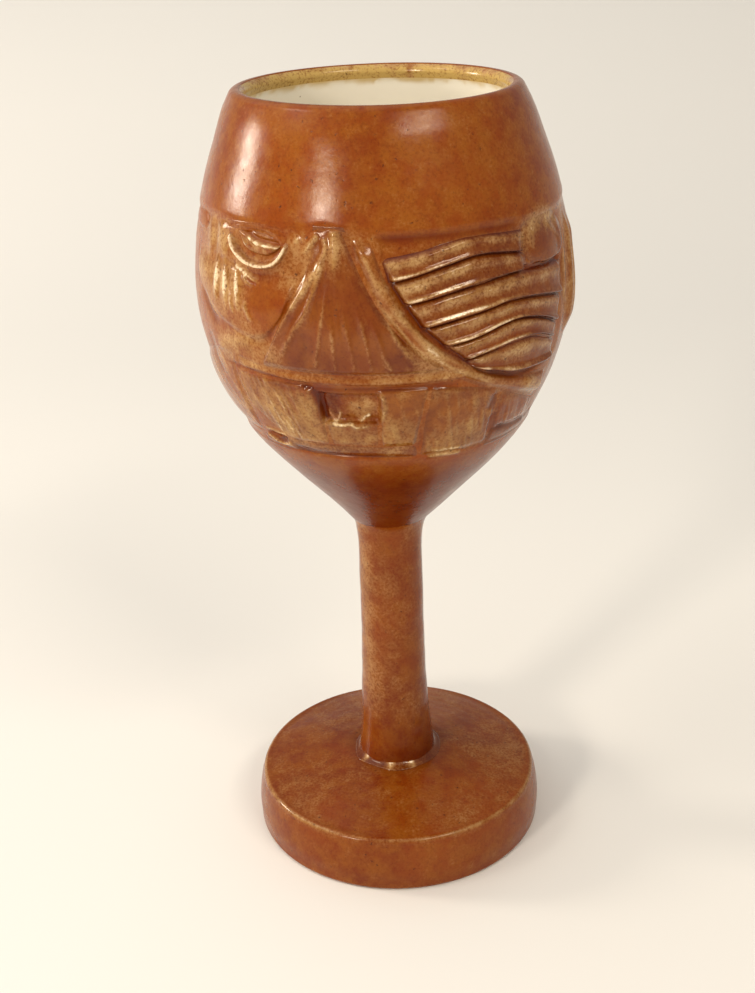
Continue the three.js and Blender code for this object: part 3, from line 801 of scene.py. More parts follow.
        # A satin skin with a faint orange peel, glossier where the glaze broke
        rough = add("TexNoise", {"Vector": place, "Scale": per_mm(3), "Detail": 4})
        rough = add("MapRange", {
            "Value": rough, "From Min": 0.3, "From Max": 0.7,
            "To Min": self.roughness - 0.03, "To Max": self.roughness + 0.04}, **SMOOTH)
        rough = add("Math", {0: broken, 1: -0.07, 2: rough}, **SCALE)
        peel = add("TexNoise", {"Vector": place, "Scale": per_mm(self.peel_size), "Detail": 3})
        pits = add("Math", {0: specks, 1: -0.6, 2: 0.0}, **SCALE)
        peel = add("Math", {0: peel, 1: 1.0, 2: pits}, **SCALE)
        bump = add("Bump", {"Strength": 0.5, "Distance": self.peel_depth * MM, "Height": peel})
        feed(material.node_tree.nodes["Principled BSDF"], {
            "Base Color": colour, "Roughness": rough, "Normal": bump, "IOR": self.ior,
            "Specular Tint": linear(self.shine),
        })
        return material


@dataclass(frozen=True)
class WhiteGlaze:
    """Glossy tin-white lining glaze, cream where it lies over brown clay."""

    name: str
    body: str = "#fdf7e8"
    warm: str = "#d9bd84"
    speck: str = "#7a5a30"
    speck_spacing: float = 2.6
    cloud_size: float = 14.0
    ripple_depth: float = 0.2
    roughness: float = 0.16
    ior: float = 1.5

    def make(self) -> bpy.types.Material:
        """Build the material.

        Returns:
            A material that grows warmer where the attribute "tan" is high.
        """
        material = bpy.data.materials.new(self.name)
        material.use_nodes = True
        add = partial(add_node, material.node_tree)
        place = add("TexCoord", output="Object")
        clouds = add("TexNoise", {"Vector": place, "Scale": per_mm(self.cloud_size), "Detail": 4})
        tan = add("Attribute", output="Fac", attribute_name="tan")
        share = add("Math", {0: clouds, 1: 0.35, 2: tan}, **SCALE)
        share = add("MapRange", {"Value": share, "From Min": 0.15, "From Max": 1.0}, **SMOOTH)
        colour = add("Mix", {0: share, FIRST: linear(self.body), SECOND: linear(self.warm)}, **COLOURS)
        specks = scatter_specks(add, place, self.speck_spacing, 0.3, 0.1, (0.0, -0.05), 0.6)
        colour = add("Mix", {0: specks, FIRST: colour, SECOND: linear(self.speck)}, **COLOURS)
        bump = add("Bump", {"Strength": 0.2, "Distance": self.ripple_depth * MM, "Height": clouds})
        feed(material.node_tree.nodes["Principled BSDF"], {
            "Base Color": colour, "Roughness": self.roughness, "IOR": self.ior, "Normal": bump})
        return material


FINISHES = {
    Slot.BROWN: IronGlaze("iron_brown_glaze"),
    Slot.RED_BROWN: IronGlaze("iron_red_glaze", body="#7b3706", deep="#632703", cloud="#86480f",
                              roughness=0.17, ior=1.43),
    Slot.TAN: IronGlaze("broken_tan_glaze", body="#86450a", roughness=0.17, ior=1.43),
    Slot.TOOTH: IronGlaze("brushed_tooth_glaze", body="#7a3e08", broken="#8a5a2c", bleached="#aa7f46",
                          golden="#d9bb8c", streaks=0.7, roughness=0.18, ior=1.42),
    Slot.WHITE: WhiteGlaze("tin_white_lining_glaze"),
    Slot.SLIP: IronGlaze("glazed_clay_slip", body="#7d3c0a"),
}
RIM_GLAZE = IronGlaze("thin_golden_rim_glaze", golden="#c2a05c")


def dress(piece: bpy.types.Object, slot: Slot, *nodes: str, finish: IronGlaze | None = None) -> None:
    """Give a finished piece its glaze, its place in the model and a line in the log.

    Args:
        piece: The piece.
        slot: The record's slot that it takes its finish from.
        *nodes: The frame's nodes that it stands for.
        finish: Another glaze to wear in place of the slot's own.
    """
    finish = finish or FINISHES[slot]
    piece.data.materials.clear()
    piece.data.materials.append(bpy.data.materials.get(finish.name) or finish.make())
    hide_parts(*nodes)
    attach(piece, "root")
    LOG.info("%s: %d faces, stands for %s", piece.name, len(piece.data.polygons), ", ".join(nodes))


# The turned and thrown bodies


@dataclass(frozen=True)
class Foot:
    """The thick turned foot, fullest low down, whose top rises from its rim to the stem."""

    height: float = 18.2
    seat_radius: float = 13.2
    rim_height: float = 14.6
    rim_radius: float = 36.1
    rim_edge: float = 1.5
    radius: float = 37.45
    fullest: float = 5.0
    base_radius: float = 37.1
    base_edge: float = 1.3
    recess_radius: float = 27.0
    recess_depth: float = 2.5
    facets: int = 256

    def section(self) -> Profile:
        """Give the foot's section, from the middle of its hollow to the middle of its top."""
        recess = self.recess_radius - self.recess_depth
        section = [(recess * i / 6, self.recess_depth) for i in range(7)]
        section += [(self.recess_radius - 0.4, 0.3), (self.recess_radius + 0.2, 0.0)]
        section += arc(self.base_radius - self.base_edge, self.base_edge, self.base_edge, -90, 0, 8)
        side = (
            (self.base_edge, self.base_radius), (self.fullest, self.radius), (8.0, self.radius - 0.25),
            (11.0, self.radius - 0.75), (self.rim_height - self.rim_edge, self.rim_radius),
        )
        section += [(float(read_curve(side, h)), h) for h in np.arange(2.2, 12.8, 0.8)]
        rim = self.rim_radius - self.rim_edge
        section += arc(rim, self.rim_height - self.rim_edge, self.rim_edge, 0, 90, 12)
        for radius in np.arange(rim - 0.6, self.seat_radius, -0.6):
            share = (rim - radius) / (rim - self.seat_radius)
            section.append((radius, self.rim_height + (self.height - self.rim_height) * share**0.92))
        return section + [(r, self.height) for r in np.linspace(self.seat_radius - 0.4, 0, 12)]

    def build(self) -> None:
        """Turn the foot and leave the marks of the wheel and the hand on it."""
        foot = spin_section("foot_disc", self.section(), self.facets)
        places = coordinates(foot)
        x, y, z = places.T
        radius = np.hypot(x, y)
        turn = np.arctan2(x, -y)
        top = smooth(self.rim_height - 0.4, self.rim_height - 0.1, z)
        top = top * smooth(self.rim_radius, 33, radius)
        marks = 0.01 * np.sin(radius * 2 * math.pi / 3.1 + 0.6 * np.sin(turn)) * smooth(12, 15, radius)
        soft = 0.16 * clay_noise(x, y, 11, 21) + 0.05 * clay_noise(x, y, 4, 22)
        places[:, 2] = z + top * (marks + soft - 0.2)
        around = turn * self.radius
        swell = 0.12 * clay_noise(around, z, 14, 23) + 0.04 * clay_noise(around, z, 4, 24)
        rim = smooth(30, 36, radius) * smooth(0.6, 3, z)
        places[:, :2] *= (1 + rim * (swell - 0.1) / self.radius)[:, None]
        move_vertices(foot, places)
        # Painted highlight: a segmented cream line along the rim's rounded edge stands for the lamps'
        # reflection there, as well as glaze breaking thin on the edge.
        edge = bell(self.rim_radius - 0.45, 0.8, radius) * smooth(12, 14, z)
        edge = edge * (0.75 + 0.5 * clay_noise(around, 0 * z, 13, 27))
        thin = 0.12 + 0.26 * clay_noise(x, y, 13, 25) + 0.1 * clay_noise(x, y, 4, 26)
        wear_and_highlight = 0.3 * smooth(1.6, 0.3, z) * smooth(34, 36, radius)
        paint(foot, "tan", 0.85 * edge + wear_and_highlight + top * thin)
        paint(foot, "pool_and_shade", 0.26 + 0.2 * smooth(17, 11, radius))
        dress(foot, Slot.BROWN, "foot")


@dataclass(frozen=True)
class Stem:
    """The solid stem, the slip at its two ends and the coil pressed round its foot."""

    outside: Line = (
        (19, 9.8), (26, 9.05), (34, 8.6), (45, 8.2), (60, 8), (72, 7.9), (80, 7.95), (84, 8.4),
        (86, 8.95), (88, 10.1),
    )
    base: float = 19.7
    top: float = 86.0
    slip: float = 0.9
    gap: float = 0.3
    coil_height: float = 2.8
    coil_reach: float = 1.8
    lean: float = -0.3
    glint_places: tuple[float, ...] = (-53, -11, 21)
    facets: int = 128

    def radius(self, height: Array) -> Array:
        """Radius of the column at a height."""
        return read_curve(self.outside, height)

    def column(self) -> None:
        """Turn the column, reaching through the slip at both ends."""
        heights = np.linspace(self.base - 1.4, self.top + 1.9, 110)
        section = [(0.0, heights[0]), *zip(self.radius(heights), heights), (0.0, heights[-1])]
        stem = spin_section("stem_column", section, self.facets)
        places = coordinates(stem)
        x, y, z = places.T
        around = np.arctan2(x, -y) * 8
        wobble = 0.1 * clay_noise(around, z, 7, 31) + 0.05 * clay_noise(around, z, 2.6, 33)
        radius = np.hypot(x, y)
        scale = 1 + wobble / np.maximum(radius, 1) * smooth(2, 7, radius)
        places[:, :2] *= scale[:, None]
        places[:, 0] += self.lean * smooth(22, 40, z) * smooth(88.5, 82, z)
        move_vertices(stem, places)
        # Painted light: the left side, towards the main lamps, is painted paler as a sheen, and the lower
        # right is painted darker as shade; the stem is also darker just above the coil.
        left = 0.3 * smooth(1, -7, x) * smooth(26, 40, z)
        cloudy = 0.2 * clay_noise(around, z / 3, 4, 32)
        paint(stem, "tan", 0.1 + left + cloudy - 0.2 * smooth(40, 24, z))
        low = 0.4 * smooth(34, 20, z) * smooth(-6, 5, x)
        paint(stem, "pool_and_shade", 0.28 + low + 0.2 * smooth(24, 19.6, z))
        dress(stem, Slot.BROWN, "stem")

    def slip_ring(self, name: str, node: str, middle: float) -> None:
        """Turn one joint's slip, smoothed flush with the stem.

        Args:
            name: The new piece's name.
            node: The frame's node that it stands for.
            middle: Height of its middle, in mm.
        """
        half = self.slip / 2
        radius = float(self.radius(np.array([middle]))[0]) - 0.15
        bulge = arc(radius - half, middle, half, -90, 90, 8)
        section = [(0.0, middle - half), *bulge, (0.0, middle + half)]
        ring = spin_section(name, section, self.facets)
        height = coordinates(ring)[:, 2]
        paint(ring, "tan", 0 * height + 0.1)
        paint(ring, "pool_and_shade", 0 * height + 0.2)
        dress(ring, Slot.SLIP, node)

    def coil(self) -> None:
        """Press the coil into the corner between the stem and the foot, as a lumpy fillet."""
        base = self.base - self.slip - 2 * self.gap
        inner = float(self.radius(np.array([self.base]))[0]) - 0.7
        outer = inner + 0.7 + self.coil_reach
        reach = outer - inner
        hollow = [
            (inner + reach * (1 - math.sin(a)), base + self.coil_height * (1 - math.cos(a)))
            for a in np.linspace(0.08, math.pi / 2, 14)
        ]
        section = [(inner, base - 0.3), (outer, base - 0.3), (outer + 0.05, base - 0.1), *hollow]
        coil = spin_section("stem_foot_fillet", section, self.facets)
        places = coordinates(coil)
        x, y, z = places.T
        turn = np.arctan2(x, -y)
        around = turn * 10
        lumps = 0.35 * clay_noise(around, 0 * z, 5.5, 34) + 0.2 * clay_noise(around, 0 * z, 2, 35)
        places[:, :2] *= (1 + lumps * smooth(inner + 0.3, outer, np.hypot(x, y)) / outer)[:, None]
        move_vertices(coil, places)
        # Painted highlights: three cream glints on the coil's top, where the lamps shine on it; the coil is
        # darker elsewhere.
        thin = sum(bell(place, 9, np.degrees(turn)) for place in self.glint_places)
        cloudy = 0.25 * clay_noise(around, z, 4, 36)
        paint(coil, "tan", 0.1 + cloudy + 1.5 * thin * bell(base + 0.9, 1.6, z))
        paint(coil, "pool_and_shade", 0.5 - 0.5 * thin)
        dress(coil, Slot.RED_BROWN, "stem_foot_coil")

    def build(self) -> None:
        """Make the column, its slip and its coil."""
        self.column()
        self.slip_ring("slip_under_stem", "stem_foot_slip", self.base - self.gap - self.slip / 2)
        self.slip_ring("slip_over_stem", "stem_top_slip", self.top + self.gap + self.slip / 2)
        self.coil()


@dataclass(frozen=True)
class Bowl:
    """The thrown wall with its cut-back band, and the white glaze inside it."""

    form: BowlForm = FORM
    facets: int = 580
    crowding: float = 0.22
    inner_facets: int = 256
    mean_radius: float = 30.0
    seam: float = 114.0
    lining: float = 0.5
    lining_top: float = 188.4
    under_clay: float = 0.7
    hidden_inset: float = 2.8
    hidden_heights: tuple[float, ...] = (184, 172, 160, 148, 136, 122, 108, 96)

    def lip_wave(self, x: Array, y: Array, z: Array) -> Array:
        """Sink the lip a little where the potter's hand left it low.

        Args:
            x: Places towards the right, in mm.
            y: Places towards the back, in mm.
            z: Heights in mm.

        Returns:
            The new heights.
        """
        angle = np.arctan2(x, -y)
        wave = 0.05 * (1 + np.cos(angle)) + 0.06 * (1 + np.sin(2 * angle + 0.6))
        return z - smooth(182, 189, z) * wave

    def shell_outline(self) -> Profile:
        """Give the outside's section up to the lip's crest, closed inside the wall."""
        form = self.form
        heights = np.concatenate([
            [form.base, form.base + 0.05], np.arange(form.base + 1.4, 112.6, 2.1),
            np.arange(113.2, 118, 0.36), np.arange(118.2, 162, 0.45), np.arange(162.2, 171.2, 0.42),
            np.arange(173, 188, 2.2),
        ])
        outside = list(zip(form.radius(heights), heights))
        middle = form.lip_height - form.lip_rounding
        lip = arc(form.lip_radius, middle, form.lip_rounding, 20, self.seam, 7)
        hidden = [(form.radius(h) - self.hidden_inset, h) for h in self.hidden_heights]
        return [(0.0, form.base), *outside, *lip, *hidden, (0.0, form.base + 4.0)]

    def shell(self, cover: Callable[[Array, Array], Array]) -> None:
        """Throw the outside, cut its band back and carve what the clay pieces leave bare.

        Args:
            cover: Gives how far places on a face lie inside a clay piece's outline, in mm.
        """
        form = self.form
        shell = spin_section("bowl_outside", self.shell_outline(), self.facets)
        places = coordinates(shell)
        x, y, z = places.T
        radius = np.hypot(x, y)
        turn = np.arctan2(x, -y)
        turn = turn - self.crowding * np.sin(2 * turn)
        angle = np.degrees(turn)
        outside = (radius > form.radius(z) - 0.5) & (z < 188.2)
        depth = np.where(outside, form.cut(angle, z), 0)
        rise, tan = CARVING.read(angle, z)
        in_band = smooth(0, 0.5, depth)
        face = form.face_angle(angle)
        under = self.under_clay * smooth(0.5, 1.6, cover(face, z))
        thrown = 0.07 * clay_noise(z * 0.4, z, 6, 41) + 0.12 * np.sin(2 * turn + z / 14)
        lumps = 0.07 * clay_noise(turn * GIRTH, z, 9, 43)
        plain = (1 - in_band) * (thrown + lumps) * smooth(form.base, form.base + 8, z)
        radius = radius + outside * (plain - depth + rise - under)
        across = radius * np.sin(turn) + form.lean(z)
        places = np.stack([across, -radius * np.cos(turn), self.lip_wave(x, y, z)], -1)
        move_vertices(shell, places)
        paint(shell, "tan", outside * (in_band * (0.16 + tan) + (1 - in_band) * np.clip(tan, 0, 1)))
        # Painted shade: the lower bowl darkens where it faces down towards the stem, the missing tooth's gap
        # darkens on its left wall and top, and grooves darken with their depth, together with glaze pooled in
        # them.
        below = 0.8 * smooth(116, 104, z)
        shade = np.clip(smooth(-11, -19, face) + 0.6 * smooth(131, 133, z), 0, 0.9)
        hollow = form.hole(face + 0.8, z) * shade
        paint(shell, "pool_and_shade", outside * (below + hollow + np.clip(-1.4 * rise * in_band, 0, 0.8)))
        dress(shell, Slot.BROWN, "bowl_wall")

    def turn_within(self, name: str, section: Profile) -> tuple[bpy.types.Object, Array, Array]:
        """Turn a section inside the wall, with the lip's wave and the bowl's drift.

        Args:
            name: The new object's name.
            section: The closed section's (radius, height) outline in mm.

        Returns:
            The body, and each vertex's place round it and height, in mm.
        """
        body = spin_section(name, section, self.inner_facets)
        places = coordinates(body)
        x, y, z = places.T
        around = np.arctan2(x, -y) * self.mean_radius
        places[:, 2] = self.lip_wave(x, y, z)
        places[:, 0] += self.form.lean(z)
        move_vertices(body, places)
        return body, around, z

    def inside(self) -> None:
        """Shape the lip's inner half and the wall behind the lining."""
        form = self.form
        middle = form.lip_height - form.lip_rounding
        heights = [form.floor + 0.1, 97.5, 100, 102.5, *np.arange(form.floor_spring, middle - 0.6, 4.0)]
        wall = [(form.inside(h, 0), h) for h in heights]
        lip = arc(form.lip_radius, middle, form.lip_rounding - 0.02, 180, self.seam - 6, 12)
        hidden = [(form.inside(h, -1.1), h) for h in reversed(heights)]
        section = [(0.0, form.floor), *wall, *lip, *hidden, (0.0, form.floor - 1.2)]
        inside, across, z = self.turn_within("bowl_inside", section)
        drips = smooth(0.3, 0.9, clay_noise(across, 0.3 * z, 2.2, 46))
        cloudy = 0.3 * clay_noise(across, z, 3, 44)
        paint(inside, "tan", 1.2 + 0.45 * smooth(189.7, 188.4, z) + cloudy - 0.8 * drips)
        paint(inside, "pool_and_shade", 0 * z)
        dress(inside, Slot.BROWN, "bowl_wall", finish=RIM_GLAZE)

    def line(self) -> None:
        """Pour the white lining, which thins to nothing under the lip."""
        form = self.form
        heights = np.array([
            *np.arange(form.floor_spring, 184, 2.5), *np.linspace(184, self.lining_top, 10)])
        floor = form.floor + self.lining
        shares = (0.04, 0.15, 0.3, 0.5, 0.72, 0.88)
        low = [floor + s * (form.floor_spring - floor) for s in shares]
        thin = 0.03 + (self.lining - 0.03) * smooth(self.lining_top, 183, heights)
        inner = [(form.inside(h, self.lining), h) for h in low]
        inner += [(form.inside(h, t), h) for h, t in zip(heights, thin)]
        outer = [(form.inside(h, -0.3), h) for h in (96.2, 97.5, 100, 102, *heights)]
        section = [(0.0, form.floor - 0.2), *outer, *reversed(inner), (0.0, floor)]
        lining, across, z = self.turn_within("bowl_lining", section)
        ragged = 0.9 * clay_noise(across, 0 * z, 4, 51) + 0.7 * clay_noise(across, z, 1.3, 52)
        paint(lining, "tan", smooth(184.6, 187.8, z + 0.7 * ragged))
        dress(lining, Slot.WHITE, "lining_glaze")

    def build(self, cover: Callable[[Array, Array], Array]) -> None:
        """Make the wall and its lining.

        Args:
            cover: Gives how far places on a face lie inside a clay piece's outline, in mm.
        """
        self.shell(cover)
        self.inside()
        self.line()


# The clay pieces of the faces


@dataclass(frozen=True)
class Patch:
    """Places on one clay piece, as its shape reads them."""

    t: Array
    v: Array
    angle: Array
    height: Array
    along: Array
    across: Array
    length: Array
    width: Array
    bed: Array

    def ridge(self, share: float, width: float) -> Array:
        """Rounded ridge down the piece at a share across, `width` mm wide."""
        return bell(0, width, self.across - share * self.width)

    def noise(self, grain: float, seed: int) -> Array:
        """Clay noise over the piece."""
        return clay_noise(np.radians(self.angle) * GIRTH, self.height, grain, seed)


Shape = Callable[[Patch], tuple[Array, Array]]
EVEN = np.linspace(0, 1, 121)


@dataclass(frozen=True)
class ClayPiece:
    """A piece of clay that lies on the bowl between two lines.

    Each line is a smooth curve through (angle, height) points. The shape gives the rise
    of the front over the plain wall in mm, and the share of broken, tan glaze. The
    borders are the widths in mm over which the piece's edges round down to the bed: its
    two ends, then its first and last line. A hem goes on under the bed's surface, so the
    clay grows out of the wall with no gap. Its root is how deep its back lies in the wall.
    """

    name: str
    slot: Slot
    first: Line
    last: Line
    shape: Shape
    borders: tuple[float, float, float, float] = (1.0, 1.0, 1.0, 1.0)
    cell: float = 0.3
    hem: float = 0.8
    pool_and_shade: float = 0.2
    root: float = 1.3

    def lay(self, side: Side) -> None:
        """Lay the piece on one side of the bowl.

        Args:
            side: Which face it belongs to.
        """
        length, width = self.spans()
        slab = clay_slab(f"{side.name.lower()}_{self.name}_clay",
                         max(round((length + 2 * self.hem) / self.cell), 8),
                         max(round((width + 2 * self.hem) / self.cell), 8))
        flat = coordinates(slab)
        t = ((flat[:, 0] + 0.5) * (length + 2 * self.hem) - self.hem) / length
        wide = self.widths(t)
        v = ((flat[:, 1] + 0.5) * (wide + 2 * self.hem) - self.hem) / wide
        p = self.patch(t, v)
        past = np.maximum.reduce([-t * length, (t - 1) * length, -v * wide, (v - 1) * wide])
        rise, tan = self.shape(p)
        carved, broken = CARVING.read(p.angle, p.height)
        shoulder = self.shoulder(p)
        dug = 0.02 + 0.6 * smooth(0.4, self.hem, past)
        front = p.bed - dug + (rise - p.bed + dug) * shoulder + carved
        rises = np.where(flat[:, 2] > 0, front, p.bed - self.root)
        places = FORM.place(p.angle + side.value, p.height, rises)
        move_vertices(slab, places)
        paint(slab, "tan", broken + 0.16 + (tan - 0.16) * shoulder)
        # Painted shade, with glaze pooled in the seams: each piece darkens along its outline and in its carved
        # grooves.
        edge = np.minimum.reduce([p.along, p.across, p.width - p.across])
        paint(slab, "pool_and_shade", np.clip(self.pool_and_shade * smooth(1.1, 0.2, edge) - 1.4 * carved, 0, 0.9))
        dress(slab, self.slot, f"{side.name.lower()}_{self.name}")

    def shoulder(self, p: Patch) -> Array:
        """Share of its full rise that the piece has at each place, 0 at its outline.

        Args:
            p: Places on the piece.

        Returns:
            A share from 0 to 1 at each place.
        """
        near = [p.along, p.length - p.along, p.across, p.width - p.across]
        start, stop, low, high = (np.clip(d / b, 0, 1) for d, b in zip(near, self.borders))
        corner = 1 - np.hypot(1 - np.minimum(start, stop), 1 - np.minimum(low, high))
        return smooth(0, 1, corner)

    def widths(self, t: Array) -> Array:
        """Width in mm between the two lines at shares along them.

        Args:
            t: Shares along the lines.

        Returns:
            The width at each share.
        """
        t = np.clip(t, 0, 1)
        across = (spline(self.last, t) - spline(self.first, t)) * GAUGE
        return np.maximum(np.linalg.norm(across, axis=1), 0.3)

    def runs(self) -> list[Array]:
        """Distance in mm run along each line at the even shares of EVEN."""
        steps = [np.diff(spline(line, EVEN) * GAUGE, axis=0) for line in (self.first, self.last)]
        return [np.concatenate([[0], np.cumsum(np.linalg.norm(step, axis=1))]) for step in steps]

    def spans(self) -> tuple[float, float]:
        """Length along the middle and greatest width, in mm."""
        first, last = self.runs()
        return (first[-1] + last[-1]) / 2, float(self.widths(np.linspace(0, 1, 60)).max())

    def patch(self, t: Array, v: Array) -> Patch:
        """Find the places at shares along and across the piece.

        Args:
            t: Shares along the lines.
            v: Shares across, from the first line to the last.

        Returns:
            The places and their distances from the piece's edges.
        """
        middle = spline(self.first, t) * (1 - v[:, None]) + spline(self.last, t) * v[:, None]
        first, last = self.runs()
        along = np.interp(t, EVEN, first) * (1 - v) + np.interp(t, EVEN, last) * v
        length = first[-1] * (1 - v) + last[-1] * v
        width = self.widths(t)
        bed = -FORM.cut(middle[:, 0], middle[:, 1])
        return Patch(t, v, middle[:, 0], middle[:, 1], along, v * width, length, width, bed)

    def cover(self, face: Array, height: Array) -> Array:
        """Give how far places lie inside the outline.

        Args:
            face: Angles from the face's middle, in degrees.
            height: Heights in mm.

        Returns:
            Distance inside the outline in mm, or 0 outside it.
        """
        shares = np.linspace(0, 1, 40)
        line = np.concatenate([spline(self.first, shares), spline(self.last, shares[::-1])]) * GAUGE
        inside = np.zeros(len(face))
        spots = np.stack([face, height], -1) * GAUGE
        near = np.all((spots > line.min(0)) & (spots < line.max(0)), axis=1)
        x, y = spots[near].T
        start, end = line, np.roll(line, -1, axis=0)
        distance = np.full(len(x), 1e9)
        crossings = np.zeros(len(x), int)
        for (x0, y0), (x1, y1) in zip(start, end):
            dx, dy = x1 - x0, y1 - y0
            share = np.clip(((x - x0) * dx + (y - y0) * dy) / (dx * dx + dy * dy + 1e-9), 0, 1)
            distance = np.minimum(distance, np.hypot(x - x0 - share * dx, y - y0 - share * dy))
            if dy:
                crossings += ((y0 > y) != (y1 > y)) & (x < x0 + dx * (y - y0) / dy)
        inside[near] = np.where(crossings % 2, distance, 0)
        return inside


def dome(share: Array, peak: float = 0.5) -> Array:
    """Rounded mound across a piece, 1 at the share `peak` and 0 at both edges.

    Args:
        share: Shares across the piece.
        peak: Share at which it is fullest.

    Returns:
        The height at each place, from 0 to 1.
    """
    across = np.where(share < peak, share / peak, (1 - share) / (1 - peak))
    across = np.clip(across, 0, 1)
    return np.sqrt(across * (2 - across))


def lifted(line: Line, rise: float) -> Line:
    """Move a line up the bowl by a rise in mm."""
    return tuple((angle, height + rise) for angle, height in line)


@dataclass(frozen=True)
class Nose:
    """The flared nose, a panel that spreads from the brow and carries thin ridges."""

    def shape(self, p: Patch) -> tuple[Array, Array]:
        """Form the panel: it grows thicker as it spreads and bellies a little.

        Args:
            p: Places on the piece.

        Returns:
            The rise in mm and the share of tan glaze at each place.
        """
        rise = -0.5 + 0.7 * smooth(0.05, 0.9, p.t) + 0.2 * dome(p.v) * smooth(0.1, 0.5, p.t)
        rise = rise + 0.04 * p.noise(5, 61)
        spread = np.degrees(np.arctan2(np.radians(p.angle + 14) * GIRTH, 168 - p.height))
        drawn = clay_noise(spread, p.height / 14, 2.4, 63) * smooth(0.2, 0.6, p.t)
        tan = 0.3 * smooth(0.93, 1.0, p.t) + (0.12 + 0.35 * drawn) * smooth(0.5, 1, p.v)
        return rise + 0.05 * drawn, tan + 0.16 * p.noise(4, 62) + 0.12 * drawn

    def pieces(self) -> list[ClayPiece]:
        """Give the nose's one piece."""
        return [ClayPiece(
            "nose_fan", Slot.RED_BROWN,
            ((-19.5, 167.6), (-22.5, 159), (-27.6, 151.4), (-33.4, 144), (-39, 137.2)),
            ((-11.6, 167.6), (-8, 161.2), (-1.4, 151.4), (6.6, 143.8), (18, 137.4)),
            self.shape, (1.6, 2.0, 1.0, 1.4), 0.27,
        )]


